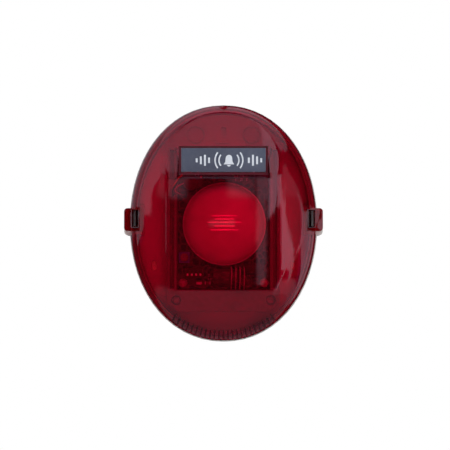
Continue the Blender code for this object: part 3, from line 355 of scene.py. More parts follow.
def moulded(name, color, roughness, grain=0.02, grain_scale=9000.0, wear=0.25, dust=0.16):
    """Injection-moulded plastic: a fine texture, slow colour drift, dust and paler edges.

    Its grain is a depth in mm, and the grain's scale is per metre."""
    s = Shader(name)
    base = s.mix(s.noise(scale=28.0), shade(color, 0.88), shade(color, 1.1))
    dusty = s.mix(s.noise(scale=420.0, high=dust, detail=6.0), base, DUST_COLOR)
    edge = s.math("MULTIPLY", s.edges(radius=0.35 * MM), wear)
    worn = s.mix(edge, dusty, paler(color, 0.45))
    rough = s.noise(scale=160.0, low=roughness - 0.06, high=roughness + 0.06, detail=5.0)
    texture = s.noise(scale=grain_scale, detail=2.0)
    soft_edges = s.add("ShaderNodeBevel", {"samples": 4}, Radius=0.25 * MM)
    bump = s.bump(texture, grain * MM, 0.6, soft_edges.outputs[0])
    plastic = s.add("ShaderNodeBsdfPrincipled", Base_Color=worn, Roughness=rough, Normal=bump)
    return s.finish(plastic)


def metal(name, color, roughness, tarnish=(0.35, 0.33, 0.3)):
    """Plated or bare metal with fine lines, tarnish patches and brighter edges."""
    s = Shader(name)
    base = s.mix(s.noise(scale=260.0, high=0.45, detail=5.0), color, tarnish)
    edge = s.math("MULTIPLY", s.edges(radius=0.15 * MM), 0.5)
    bright = s.mix(edge, base, shade(color, 1.25))
    rough = s.noise(scale=900.0, low=roughness * 0.7, high=roughness * 1.5, detail=4.0)
    bump = s.bump(s.noise(scale=5200.0, detail=2.0), 0.008 * MM, 0.5)
    plate = s.add(
        "ShaderNodeBsdfPrincipled", Base_Color=bright, Roughness=rough, Metallic=0.6, Normal=bump
    )
    return s.finish(plate)


def red_clear():
    """Polished red polycarbonate, thin enough that what is behind it isn't shifted.

    The side lugs are solid, so they are darker."""
    s = Shader("red_clear")
    facing = s.add("ShaderNodeLayerWeight", Blend=0.5).outputs["Facing"]
    thin = s.mix(s.noise(scale=24.0), (0.90, 0.15, 0.37), (0.93, 0.17, 0.40))
    lugs = s.slab((LUG_INNER, 2 * LUG_INNER), LUG_Z, soft=0.2 * MM)
    straight = s.mix(lugs, thin, (0.70, 0.02, 0.12))
    tint = s.mix(s.math("POWER", facing, 3.0), straight, (0.34, 0.012, 0.04))
    clear = s.add("ShaderNodeBsdfTransparent", Color=tint)
    smears = s.noise(scale=60.0, low=0.012, high=0.045, detail=6.0)
    flow = s.bump(s.noise(scale=140.0, detail=2.0), 0.01 * MM, 0.3)
    gloss = s.add("ShaderNodeBsdfGlossy", Color=WHITE, Roughness=smears, Normal=flow)
    grazing = s.math("MULTIPLY", s.math("POWER", facing, 5.0), 0.8)
    polished = s.layer(s.math("ADD", grazing, 0.052), clear, gloss)
    haze = s.add("ShaderNodeBsdfDiffuse", Color=(0.30, 0.004, 0.02))
    scuffs = s.noise(scale=300.0, low=0.01, high=0.035, detail=5.0)
    return s.finish(s.layer(scuffs, polished, haze))


def milky():
    """Frosted lens: mostly diffusing, a little see-through in the middle."""
    s = Shader("milky_lens")
    body = s.mix(s.noise(scale=70.0), (0.80, 0.80, 0.80), (0.92, 0.92, 0.90))
    scatter = s.add("ShaderNodeBsdfDiffuse", Color=body)
    through = s.add("ShaderNodeBsdfTranslucent", Color=body)
    milk = s.layer(0.45, scatter, through)
    clear = s.add("ShaderNodeBsdfTransparent", Color=(0.95, 0.95, 0.95))
    hazy = s.layer(0.8, clear, milk)
    rough = s.noise(scale=500.0, low=0.12, high=0.3, detail=4.0)
    gloss = s.add("ShaderNodeBsdfGlossy", Color=WHITE, Roughness=rough)
    return s.finish(s.layer(0.05, hazy, gloss))


def tube_glass():
    """Clear glass with a faint smoky deposit."""
    s = Shader("tube_glass")
    tint = s.mix(s.noise(scale=400.0), (0.93, 0.95, 0.97), (0.80, 0.80, 0.84))
    clear = s.add("ShaderNodeBsdfTransparent", Color=tint)
    rough = s.noise(scale=300.0, low=0.02, high=0.08)
    gloss = s.add("ShaderNodeBsdfGlossy", Color=WHITE, Roughness=rough)
    facing = s.add("ShaderNodeLayerWeight", Blend=0.5).outputs["Facing"]
    grazing = s.math("ADD", s.math("POWER", facing, 3.0), 0.06, clamp=True)
    return s.finish(s.layer(grazing, clear, gloss))


def board_mask():
    """Green solder mask over copper traces, with the glass weave showing through."""
    s = Shader("board_mask")
    cells = s.add(
        "ShaderNodeTexVoronoi",
        {"feature": "DISTANCE_TO_EDGE", "distance": "CHEBYCHEV"},
        Vector=s.coords,
        Scale=240.0,
        Randomness=0.7,
    )
    trace = s.math("LESS_THAN", cells.outputs["Distance"], 0.09)
    weave = s.noise(scale=1600.0, detail=2.0, stretch=(1.0, 1.0, 0.12))
    mask = s.mix(weave, (0.006, 0.060, 0.024), (0.012, 0.095, 0.038))
    color = s.mix(s.math("MULTIPLY", trace, 0.85), mask, (0.07, 0.19, 0.075))
    height = s.math("ADD", s.math("MULTIPLY", trace, 0.7), s.math("MULTIPLY", weave, 0.3))
    bump = s.bump(height, 0.05 * MM, 0.7)
    rough = s.noise(scale=120.0, low=0.22, high=0.4, detail=4.0)
    board = s.add("ShaderNodeBsdfPrincipled", Base_Color=color, Roughness=rough, Normal=bump)
    return s.finish(board)


def printed(name, color):
    """Screen-printed ink with slightly ragged cover."""
    s = Shader(name)
    speckle = s.noise(scale=2600.0, detail=4.0)
    ink = s.add(
        "ShaderNodeBsdfPrincipled",
        Base_Color=s.mix(speckle, shade(color, 0.9), color),
        Roughness=s.noise(scale=700.0, low=0.45, high=0.65),
        Normal=s.bump(speckle, 0.01 * MM, 0.5),
    )
    return s.finish(ink)


def winding():
    """Enamelled copper laid in close turns."""
    s = Shader("winding")
    turns = s.add(
        "ShaderNodeTexWave",
        {"bands_direction": "Y", "wave_profile": "SIN"},
        Vector=s.coords,
        Scale=420.0,
        Distortion=0.6,
    ).outputs["Fac"]
    copper = s.add(
        "ShaderNodeBsdfPrincipled",
        Base_Color=s.mix(turns, (0.10, 0.03, 0.012), (0.62, 0.25, 0.10)),
        Metallic=0.85,
        Roughness=s.noise(scale=500.0, low=0.25, high=0.4),
        Normal=s.bump(turns, 0.15 * MM, 0.8),
    )
    return s.finish(copper)


def prism_facets():
    """Clear prisms that throw the room's light back, so they look paler than the frosting."""
    s = Shader("prism")
    body = s.mix(s.noise(scale=900.0), (0.90, 0.90, 0.92), (0.98, 0.98, 0.98))
    scatter = s.add("ShaderNodeBsdfDiffuse", Color=body)
    rough = s.noise(scale=500.0, low=0.1, high=0.2)
    gloss = s.add("ShaderNodeBsdfGlossy", Color=(0.9, 0.9, 0.95), Roughness=rough)
    both = s.add("ShaderNodeAddShader")
    s.put(both.inputs[0], scatter.outputs[0])
    s.put(both.inputs[1], gloss.outputs[0])
    return s.finish(both)


def base_plastic():
    """The frame's own light grey, with thin webs in the fixing slots that let some light through."""
    s = Shader.of(bpy.data.materials["light_grey"])
    web = s.math("MULTIPLY", s.slab(WEB_X, WEB_Z, soft=0.15 * MM), WEB_CLEARNESS)
    plastic = s.output.inputs["Surface"].links[0].from_node
    through = s.add("ShaderNodeBsdfTransparent", Color=(0.95, 0.6, 0.4))
    return s.finish(s.layer(web, plastic, through))


# Looks by name, which is also the name of the material slot that most of them dress
PLASTICS = {
    "nameplate": dict(
        color=(0.052, 0.061, 0.096),
        roughness=0.38,
        grain=0.01,
        grain_scale=14000.0,
        wear=0.12,
        dust=0.03,
    ),
    "dark_grey": dict(color=(0.12, 0.12, 0.12), roughness=0.5),
    "black": dict(color=(0.018, 0.018, 0.019), roughness=0.42, wear=0.12, dust=0.05),
    "capacitor_sleeve": dict(
        color=(0.014, 0.014, 0.018), roughness=0.28, grain=0.015, grain_scale=4000.0, wear=0.1
    ),
    "ivory": dict(color=(0.72, 0.68, 0.58), roughness=0.42),
    "ceramic": dict(color=(0.62, 0.62, 0.60), roughness=0.35),
    # Dark maroon of the label gasket and the slot comb, which is also painted shade: it darkens the
    # recess walls and the sound slots
    "gasket": dict(
        color=(0.062, 0.003, 0.010), roughness=0.8, grain_scale=6000.0, wear=0.02, dust=0.01
    ),
    "ferrite": dict(
        color=(0.045, 0.045, 0.05), roughness=0.6, grain=0.04, grain_scale=5000.0, wear=0.2
    ),
    "terminal_green": dict(color=(0.016, 0.24, 0.08), roughness=0.4),
    "trimmer_blue": dict(color=(0.025, 0.10, 0.42), roughness=0.38),
    "red_wire": dict(color=(0.55, 0.018, 0.016), roughness=0.4, grain_scale=3000.0, wear=0.1),
}
METALS = {
    "reflector": dict(color=(0.86, 0.86, 0.87), roughness=0.16, tarnish=(0.7, 0.7, 0.7)),
    "steel": dict(color=(0.62, 0.62, 0.60), roughness=0.3),
    "brass": dict(color=(0.72, 0.50, 0.20), roughness=0.28, tarnish=(0.3, 0.2, 0.08)),
    "solder": dict(color=(0.68, 0.68, 0.70), roughness=0.3),
}
MATERIALS = {
    "red_clear": red_clear(),
    "light_grey": base_plastic(),
    "milky_lens": milky(),
    "tube_glass": tube_glass(),
    "copper": winding(),
    "board": board_mask(),
    "ink": printed("ink", (0.56, 0.60, 0.66)),
    "prism": prism_facets(),
}
for plastic_name, look in PLASTICS.items():
    MATERIALS[plastic_name] = moulded(plastic_name, **look)
for metal_name, look in METALS.items():
    MATERIALS[metal_name] = metal(metal_name, **look)


def dress(obj, material):
    obj.data.materials.clear()
    obj.data.materials.append(MATERIALS[material])


def smooth(obj, degrees=SHARP_ANGLE):
    """Smooth shading with sharp edges where faces meet at more than an angle."""
    obj.data.shade_smooth()
    obj.data.set_sharp_from_angle(angle=math.radians(degrees))


def dress_cad_nodes():
    for name, obj in NODES.items():
        dress(obj, SLOT_OF[name])
        smooth(obj)


# Mesh tools


def from_bmesh(name, bm, material=None):
    mesh = bpy.data.meshes.new(name)
    bm.to_mesh(mesh)
    bm.free()
    obj = bpy.data.objects.new(name, mesh)
    bpy.context.scene.collection.objects.link(obj)
    if material:
        dress(obj, material)
    return obj


def place(piece, body):
    """Fixes a piece to its body."""
    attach(piece, body)


def block(name, x, depth, z):
    """A box between two values of x, of depth and of z."""
    bm = bmesh.new()
    bmesh.ops.create_cube(bm, size=1.0)
    size = Vector((x[1] - x[0], depth[1] - depth[0], z[1] - z[0]))
    bmesh.ops.scale(bm, vec=size, verts=bm.verts)
    bmesh.ops.translate(bm, vec=at(sum(x) / 2, sum(depth) / 2, sum(z) / 2), verts=bm.verts)
    return from_bmesh(name, bm)


def plate(name, outline, depth):
    """An (x, z) outline taken between two depths."""
    bm = bmesh.new()
    back = [bm.verts.new(at(x, depth[0], z)) for x, z in outline]
    front = [bm.verts.new(at(x, depth[1], z)) for x, z in outline]
    bm.faces.new(back)
    bm.faces.new(front[::-1])
    for i in range(len(outline)):
        j = (i + 1) % len(outline)
        bm.faces.new((back[i], front[i], front[j], back[j]))
    bmesh.ops.recalc_face_normals(bm, faces=bm.faces)
    return from_bmesh(name, bm)


def boolean(obj, tool, operation):
    modifier = obj.modifiers.new(tool.name, "BOOLEAN")
    modifier.operation = operation
    modifier.object = tool


def bevelled(obj, name, width, segments):
    modifier = obj.modifiers.new(name, "BEVEL")
    modifier.width = width
    modifier.segments = segments
    return modifier


def apply_modifiers(obj):
    """Applies an object's modifiers, and removes the tools that its Booleans used."""
    bpy.context.view_layer.update()
    graph = bpy.context.evaluated_depsgraph_get()
    mesh = bpy.data.meshes.new_from_object(obj.evaluated_get(graph))
    tools = {m.object for m in obj.modifiers if m.type == "BOOLEAN"}
    obj.modifiers.clear()
    obj.data = mesh
    for tool in tools:
        bpy.data.objects.remove(tool, do_unlink=True)


def rounded_rectangle(x, z, radii, steps):
    """Radii run anticlockwise from the lower left corner."""
    corners = [(x[0], z[0], 1, 1), (x[1], z[0], -1, 1), (x[1], z[1], -1, -1), (x[0], z[1], 1, -1)]
    points = []
    for turn, ((cx, cz, sx, sz), radius) in enumerate(zip(corners, radii)):
        if radius == 0:
            points.append((cx, cz))
            continue
        for i in range(steps + 1):
            angle = math.pi + math.pi / 2 * (turn + i / steps)
            px = cx + sx * radius + radius * math.cos(angle)
            pz = cz + sz * radius + radius * math.sin(angle)
            points.append((px, pz))
    return points


def arc_points(x, z, radii, start, end, steps):
    """Points round (x, z) with radii along x and z, from one angle to another in degrees."""
    points = []
    for i in range(steps + 1):
        angle = math.radians(start + (end - start) * i / steps)
        points.append((x + radii[0] * math.cos(angle), z + radii[1] * math.sin(angle)))
    return points


# Clear cover


def squared(value):
    return math.copysign(abs(value) ** (2 / SQUARENESS), value)


def reach_of(x, z):
    """How far a point lies from the cover's middle, 1 on its outline."""
    total = (abs(x) / HALF_WIDTH) ** SQUARENESS + (abs(z) / HALF_HEIGHT) ** SQUARENESS
    return min(total ** (1 / SQUARENESS), 1.0)


def cover_depth(x, z):
    """The outer face's depth: the lowest of the dome, the front and the slopes, softly joined."""
    crown = PLATEAU - (x * x + z * z) / (2 * CROWN_RADIUS)
    surfaces = [
        SKIRT_FRONT + DOME_HEIGHT * (1 - reach_of(x, z) ** DOME_FULLNESS) ** (1 / DOME_ROUNDNESS),
        crown,
        crown - math.tan(SIDE_SLOPE) * (abs(x) - CREASE_X),
        crown - math.tan(TOP_SLOPE) * (z - CREASE_TOP),
        crown - math.tan(BOTTOM_SLOPE) * (CREASE_BOTTOM - z),
    ]
    lowest = min(surfaces)
    spread = sum(math.exp((lowest - value) / CREASE_SOFTNESS) for value in surfaces)
    return lowest - CREASE_SOFTNESS * math.log(spread)


def dome(segments, rings):
    """Half a sphere bent into the cover's outer face, open at the back."""
    bm = bmesh.new()
    bmesh.ops.create_uvsphere(bm, u_segments=segments, v_segments=2 * rings, radius=1.0)
    low = [v for v in bm.verts if v.co.z < -1e-4]
    bmesh.ops.delete(bm, geom=low, context="VERTS")
    for vertex in bm.verts:
        reach = min(math.hypot(vertex.co.x, vertex.co.y), 1.0)
        angle = math.atan2(vertex.co.y, vertex.co.x)
        x = HALF_WIDTH * reach * squared(math.cos(angle))
        z = HALF_HEIGHT * reach * squared(math.sin(angle))
        vertex.co = at(x, cover_depth(x, z), z)
    return bm


def close_back(bm, depth, capped):
    """Carries an open rim straight back to a depth, and caps it there if asked."""
    rim = [e for e in bm.edges if e.is_boundary]
    grown = bmesh.ops.extrude_edge_only(bm, edges=rim)["geom"]
    verts = [g for g in grown if isinstance(g, bmesh.types.BMVert)]
    for vertex in verts:
        vertex.co.y = -depth
    if capped:
        bmesh.ops.contextual_create(bm, geom=verts)
    bmesh.ops.recalc_face_normals(bm, faces=bm.faces)


def slot_feet():
    """Where each sound slot meets the cover's outline."""
    for i in range(SLOT_COUNT):
        x = (i - (SLOT_COUNT - 1) / 2) * SLOT_PITCH
        z = -HALF_HEIGHT * (1 - (abs(x) / HALF_WIDTH) ** SQUARENESS) ** (1 / SQUARENESS)
        yield Vector((x, 0.0, z))


def sound_slot_tool():
    """The cutters of all sound slots, which run straight out from the cover's middle."""
    bm = bmesh.new()
    low, high = SKIRT_FRONT - SLOT_SINK, PLATEAU
    length = HALF_HEIGHT * (1 - SLOT_REACH) * 2
    for foot in slot_feet():
        outward = foot.normalized()
        made = bmesh.ops.create_cube(bm, size=1.0)["verts"]
        bmesh.ops.scale(bm, vec=(SLOT_WIDTH, high - low, length), verts=made)
        turn = Vector((0.0, 0.0, -1.0)).rotation_difference(outward)
        bmesh.ops.rotate(bm, matrix=turn.to_matrix(), verts=made)
        middle = foot * SLOT_REACH + outward * length / 2
        bmesh.ops.translate(bm, vec=middle + at(0.0, (low + high) / 2, 0.0), verts=made)
    return from_bmesh("sound_slots", bm)


def mirrored(values, side):
    return tuple(sorted(side * value for value in values))


def tilt_with_label(obj):
    """Sets an object's own origin on the recess floor, at the label's slope."""
    obj.location = at(0.0, RECESS_FLOOR, LABEL_MIDDLE)
    obj.rotation_euler = (LABEL_TILT, 0.0, 0.0)


def recess_tools(room):
    """The tub that backs the label's recess, and the drafted cutter that opens it."""
    tub = block(
        "recess_tub",
        (-TUB_HALF_WIDTH, TUB_HALF_WIDTH),
        (RECESS_FLOOR - WALL, PLATEAU + BEYOND),
        (LABEL_MIDDLE - TUB_HALF_HEIGHT, LABEL_MIDDLE + TUB_HALF_HEIGHT),
    )
    for vertex in tub.data.vertices:
        if -vertex.co.y < RECESS_FLOOR:
            vertex.co.y += math.tan(LABEL_TILT) * (vertex.co.z - LABEL_MIDDLE)
    boolean(tub, room, "INTERSECT")
    half_x = LABEL_HALF_WIDTH + RECESS_MARGIN
    half_z = LABEL_HEIGHT / 2 + RECESS_MARGIN
    cutter = block("recess", (-half_x, half_x), (0.0, RECESS_CUT), (-half_z, half_z))
    spread = RECESS_CUT * math.tan(RECESS_DRAFT)
    for vertex in cutter.data.vertices:
        if vertex.co.y < -RECESS_CUT / 2:
            vertex.co.x += math.copysign(spread, vertex.co.x)
            vertex.co.z += math.copysign(spread, vertex.co.z)
    tilt_with_label(cutter)
    bevelled(cutter, "Corners", RECESS_CORNER, 3)
    return tub, cutter


def lug_tools(room, side):
    """What joins and cuts one side lug: its backing, the notch above it, the lug and its window."""
    backing = block(
        f"lug_backing_{side}",
        mirrored((LUG_INNER - LUG_BACKING, COVER_X[1]), side),
        (COVER_BACK + LUG_BACKING, PLATEAU),
        (LUG_Z[0] - LUG_BACKING, LUG_Z[1] + LUG_BACKING),
    )
    boolean(backing, room, "INTERSECT")
    notch = block(
        f"notch_{side}",
        mirrored((LUG_INNER, COVER_X[1] + BEYOND), side),
        (LUG_FRONT - NOTCH_SINK, PLATEAU),
        (LUG_Z[0] - NOTCH_GAP, LUG_Z[1] + NOTCH_GAP),
    )
    x = mirrored((LUG_INNER - LUG_ROOT, COVER_X[1]), side)
    radii = (0, LUG_CORNER, LUG_CORNER, 0) if side > 0 else (LUG_CORNER, 0, 0, LUG_CORNER)
    outline = rounded_rectangle(x, LUG_Z, radii, steps=6)
    lug = plate(f"lug_{side}", outline, (COVER_DEPTH[0], LUG_FRONT))
    for obj, slopes_at_back in ((lug, False), (notch, True)):
        middle = sum(vertex.co.y for vertex in obj.data.vertices) / len(obj.data.vertices)
        for vertex in obj.data.vertices:
            if (vertex.co.y > middle) == slopes_at_back:
                vertex.co.y += math.tan(LUG_SLOPE) * (abs(vertex.co.x) - LUG_INNER)
    bevel = bevelled(lug, "Edges", LUG_EDGE, 3)
    bevel.limit_method = "ANGLE"
    bevel.angle_limit = math.radians(50)
    window = block(
        f"window_{side}", mirrored(WINDOW_X, side), (COVER_BACK - BEYOND, PLATEAU), WINDOW_Z
    )
    return backing, notch, lug, window


def clear_cover():
    """The cover's shell with its lugs, label recess and sound slots, in one mesh."""
    shell = dome(COVER_SEGMENTS, COVER_RINGS)
    close_back(shell, COVER_BACK, capped=False)
    cover = from_bmesh("cover_shell", shell)
    wall = cover.modifiers.new("Wall", "SOLIDIFY")
    wall.thickness = WALL
    wall.offset = -1
    wall.use_even_offset = True
    inside = dome(ROOM_SEGMENTS, ROOM_RINGS)
    close_back(inside, 0.0, capped=True)
    room = from_bmesh("room", inside)
    room.location = at(0.0, -WALL / 2, 0.0)
    for side in (-1, 1):
        backing, notch, lug, window = lug_tools(room, side)
        boolean(cover, backing, "UNION")
        boolean(cover, notch, "DIFFERENCE")
        boolean(cover, lug, "UNION")
        boolean(cover, window, "DIFFERENCE")
    tub, recess = recess_tools(room)
    boolean(cover, tub, "UNION")
    boolean(cover, recess, "DIFFERENCE")
    boolean(cover, sound_slot_tool(), "DIFFERENCE")
    apply_modifiers(cover)
    bpy.data.objects.remove(room, do_unlink=True)
    dress(cover, "red_clear")
    smooth(cover, COVER_SHARP_ANGLE)
    place(cover, "cover")
    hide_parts("front_cover")


# Label print and gasket


def label_print():
    """A bell with sound arcs and level bars, standing for the unit's own wording."""
    bm = bmesh.new()

    def shape(points):
        bm.faces.new([bm.verts.new((x, 0.0, z)) for x, z in points])

    foot = -PRINT_HEIGHT / 2 + BELL_FOOT
    crown = PRINT_HEIGHT / 2 - BELL_WAIST - BELL_TOP_GAP
    bell = arc_points(BELL_X, crown, (BELL_WAIST, BELL_WAIST), 0, 180, 12)
    bell.append((BELL_X - BELL_WAIST * BELL_FLARE, foot + BELL_LIP))
    bell.append((BELL_X - BELL_MOUTH, foot))
    bell.append((BELL_X + BELL_MOUTH, foot))
    bell.append((BELL_X + BELL_WAIST * BELL_FLARE, foot + BELL_LIP))
    shape(bell)
    shape(arc_points(BELL_X, foot - CLAPPER_GAP, CLAPPER_RADII, 180, 360, 8))
    for side in (-1, 1):
        x = BELL_X + side * ARC_SHIFT
        for radius in ARC_RADII:
            inner = radius - ARC_WIDTH
            far = arc_points(x, 0.0, (side * radius, radius), -ARC_SPREAD, ARC_SPREAD, 10)
            near = arc_points(x, 0.0, (side * inner, inner), -ARC_SPREAD, ARC_SPREAD, 10)
            for i in range(len(far) - 1):
                shape([near[i], far[i], far[i + 1], near[i + 1]])
    for i, height in enumerate(BAR_HEIGHTS):
        for side in (1, -1):
            x = BELL_X + side * (BAR_START + i * BAR_PITCH)
            left, right = x - BAR_WIDTH / 2, x + BAR_WIDTH / 2
            low, high = -height / 2, height / 2
            shape([(left, low), (right, low), (right, high), (left, high)])
    for face in bm.faces:
        face.normal_update()
        if face.normal.y > 0:
            face.normal_flip()
    ink = from_bmesh("label_print", bm, "ink")
    skin = ink.modifiers.new("Ink", "SOLIDIFY")
    skin.thickness = INK_THICKNESS
    skin.offset = 1
    apply_modifiers(ink)
    tilt_with_label(ink)
    forward = Vector((0.0, -math.cos(LABEL_TILT), -math.sin(LABEL_TILT)))
    ink.location += forward * (LABEL_LIFT + LABEL_THICKNESS + INK_GAP)
    place(ink, "cover")


def label_gasket_and_shade():
    """A dark gasket that lines the walls of the label's recess; its dark colour is also painted
    shade for those steep walls.
    """
    bm = bmesh.new()
    rows = []
    for lift, grown in GASKET_SECTION:
        half_x = LABEL_HALF_WIDTH + GASKET_GAP + grown * MM
        half_z = LABEL_HEIGHT / 2 + GASKET_GAP + grown * MM
        corners = [(-half_x, -half_z), (half_x, -half_z), (half_x, half_z), (-half_x, half_z)]
        rows.append([bm.verts.new((x, -lift * MM, z)) for x, z in corners])
    for row, following in zip(rows, rows[1:] + rows[:1]):
        for i in range(4):
            j = (i + 1) % 4
            bm.faces.new((row[i], row[j], following[j], following[i]))
    bmesh.ops.recalc_face_normals(bm, faces=bm.faces)
    ring = from_bmesh("label_gasket_and_shade", bm, "gasket")
    tilt_with_label(ring)
    bevelled(ring, "Edges", GASKET_EDGE, 2)
    place(ring, "cover")


# A box's faces, from corners numbered with the last of its three directions changing fastest
BOX_FACES = (
    (0, 1, 3, 2),
    (4, 6, 7, 5),
    (0, 2, 6, 4),
    (1, 5, 7, 3),
    (0, 4, 5, 1),
    (2, 3, 7, 6),
)


def sound_baffle_and_shade():
    """A comb whose dark teeth stand inside the cover's sound slots, a little below its surface;
    their dark maroon is also painted shade for the slots' depths.
    """
    bm = bmesh.new()
    for foot in slot_feet():
        sideways = Vector((-foot.z, 0.0, foot.x)).normalized()
        half = (SLOT_WIDTH / 2 - TOOTH_GAP) * sideways
        corners = []
        for reach in TOOTH_REACH:
            point = foot * reach
            front = cover_depth(point.x, point.z) - TOOTH_SINK
            for sign in (-1, 1):
                for depth in (TOOTH_FOOT, front):
                    corners.append(bm.verts.new(point + half * sign + at(0.0, depth, 0.0)))
        for face in BOX_FACES:
            bm.faces.new([corners[k] for k in face])
    bmesh.ops.recalc_face_normals(bm, faces=bm.faces)
    comb = from_bmesh("sound_baffle_and_shade", bm, "gasket")
    place(comb, "cover")


# Strobe lens


def lens():
    """The frosted dome over the flash tube, with a foot flange."""
    low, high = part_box("strobe_lens")
    middle = (low + high) / 2
    back = -high.y
    flange = (high.x - low.x) / 2
    radius = flange - FLANGE_WIDTH
    foot = back + FLANGE_HEIGHT
    rise = -low.y - foot
    angles = [math.pi / 2 * i / LENS_STEPS for i in range(LENS_STEPS + 1)]
    profile = [(radius * math.sin(a), foot + rise * math.cos(a)) for a in angles]
    profile += [(flange, foot), (flange, back), (radius - LENS_WALL, back)]
    for a in reversed(angles):
        across = (radius - LENS_WALL) * math.sin(a)
        profile.append((across, foot + (rise - LENS_WALL) * math.cos(a)))
    bm = bmesh.new()
    points = [bm.verts.new((r, -depth, 0.0)) for r, depth in profile]
    edges = [bm.edges.new(pair) for pair in zip(points, points[1:])]
    bmesh.ops.spin(
        bm,
        geom=points + edges,
        axis=(0, 1, 0),
        cent=(0, 0, 0),
        angle=2 * math.pi,
        steps=LENS_TURNS,
    )
    bmesh.ops.remove_doubles(bm, verts=bm.verts, dist=0.001 * MM)
    bmesh.ops.recalc_face_normals(bm, faces=bm.faces)
    frosted = from_bmesh("lens_dome", bm, "milky_lens")
    frosted.location = (middle.x, 0.0, middle.z)
    smooth(frosted, LENS_SHARP_ANGLE)
    place(frosted, "base")
    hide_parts("strobe_lens")
    lens_prisms(middle, radius, foot, rise)


def lens_prisms(middle, radius, foot, rise):
    """Short level prisms that stand on the dome's face in front of the tube."""
    bm = bmesh.new()
    for level, length in PRISM_LEVELS:
        previous = None
        for i in range(PRISM_STEPS + 1):
            x = (i / PRISM_STEPS - 0.5) * length * MM
            taper = min(1.0, (1.02 - abs(2 * i / PRISM_STEPS - 1)) * PRISM_TAPER)
            z = level * MM + PRISM_HEIGHT * taper / 2
            top = foot + rise * math.sqrt(1 - (x * x + z * z) / (radius * radius)) - PRISM_SINK
            front = top + PRISM_SLOPE * PRISM_HEIGHT * taper
            root = top - PRISM_ROOT
            section = ((top, 0.0), (front, PRISM_HEIGHT), (root, PRISM_HEIGHT + PRISM_SKIRT))
            ring = [bm.verts.new(at(x, depth, z - down * taper)) for depth, down in section]
            if previous:
                for k in range(3):
                    n = (k + 1) % 3
                    bm.faces.new((previous[k], previous[n], ring[n], ring[k]))
            else:
                bm.faces.new(ring)
            previous = ring
        bm.faces.new(previous[::-1])
    bmesh.ops.recalc_face_normals(bm, faces=bm.faces)
    prisms = from_bmesh("lens_prisms", bm, "prism")
    prisms.location = (middle.x, 0.0, middle.z)
    place(prisms, "base")


# Board detail


def occupied():
    """The (x, z) ranges of everything that stands on the board."""
    rooms = []
    for name in NODES:
        x, depth, z = node_box(name)
        height = depth[0] - BOARD_DEPTH[1]
        if PART_FEET[0] < height < PART_FEET[1] or name.startswith("board_screw"):
            rooms.append((x, z))
    return rooms


def is_free(x, z, half, rooms):
    """True if a chip of half sizes at (x, z) keeps clear of every taken room."""
    for room_x, room_z in rooms:
        beside_x = room_x[0] - half[0] - CHIP_GAP < x < room_x[1] + half[0] + CHIP_GAP
        beside_z = room_z[0] - half[1] - CHIP_GAP < z < room_z[1] + half[1] + CHIP_GAP
        if beside_x and beside_z:
            return False
    return True


def chip(bm, x, z, size, upright, lift):
    """One bevelled block on the board, with its (long, short, tall) size."""
    long, short, tall = size
    across, up = (short, long) if upright else (long, short)
    made = bmesh.ops.create_cube(bm, size=1.0)["verts"]
    bmesh.ops.scale(bm, vec=(across, tall, up), verts=made)
    bmesh.ops.translate(bm, vec=at(x, BOARD_DEPTH[1] + lift + tall / 2, z), verts=made)
    edges = {e for v in made for e in v.link_edges}
    offset = min(size) * CHIP_BEVEL
    bmesh.ops.bevel(bm, geom=list(edges), offset=offset, segments=2, affect="EDGES")


def solder_ends(bm, x, z, size, upright):
    """A slightly larger cap on each end of a chip."""
    long, short, tall = size
    cap = (long * SOLDER_LENGTH, short * SOLDER_GROWTH[0], tall * SOLDER_GROWTH[1])
    for side in (-1, 1):
        offset = side * (long / 2 - cap[0] / 2 + SOLDER_PAST)
        dx, dz = (0.0, offset) if upright else (offset, 0.0)
        chip(bm, x + dx, z + dz, cap, upright, SOLDER_LIFT)


def surface_parts():
    """Chip resistors, capacitors and diodes in the board's free areas, with their solder ends."""
    dice = random.Random(CHIP_SEED)
    rooms = occupied()
    bodies = {"ferrite": bmesh.new(), "ceramic": bmesh.new()}
    ends = bmesh.new()
    placed = 0
    for _ in range(CHIP_TRIES):
        if placed == CHIP_COUNT:
            break
        size = CHIP_SIZES[dice.choice(CHIP_MIX)]
        upright = dice.random() < 0.5
        long, short = size[:2]
        half = (short / 2, long / 2) if upright else (long / 2, short / 2)
        edge = (half[0] + CHIP_MARGIN, half[1] + CHIP_MARGIN)
        x = dice.uniform(BOARD_X[0] + edge[0], BOARD_X[1] - edge[0])
        z = dice.uniform(BOARD_Z[0] + edge[1], BOARD_Z[1] - edge[1])
        if not is_free(x, z, half, rooms):
            continue
        rooms.append(((x - half[0], x + half[0]), (z - half[1], z + half[1])))
        kind = "ferrite" if dice.random() < DARK_SHARE else "ceramic"
        chip(bodies[kind], x, z, size, upright, CHIP_LIFT)
        solder_ends(ends, x, z, size, upright)
        placed += 1
    for kind, bm in bodies.items():
        place(from_bmesh(f"surface_parts_{kind}", bm, kind), "base")
    place(from_bmesh("surface_parts_ends", ends, "solder"), "base")


def bent_wire(name, points, radius):
    """A round tinned wire through (x, depth, z) points, its ends closed."""
    curve = bpy.data.curves.new(name, "CURVE")
    curve.dimensions = "3D"
    curve.bevel_depth = radius
    curve.bevel_resolution = 4
    curve.use_fill_caps = True
    spline = curve.splines.new("BEZIER")
    spline.bezier_points.add(len(points) - 1)
    for handle, point in zip(spline.bezier_points, points):
        handle.co = at(*point)
        handle.handle_left_type = "AUTO"
        handle.handle_right_type = "AUTO"
    obj = bpy.data.objects.new(name, curve)
    bpy.context.scene.collection.objects.link(obj)
    curve.materials.append(MATERIALS["steel"])
    place(obj, "base")


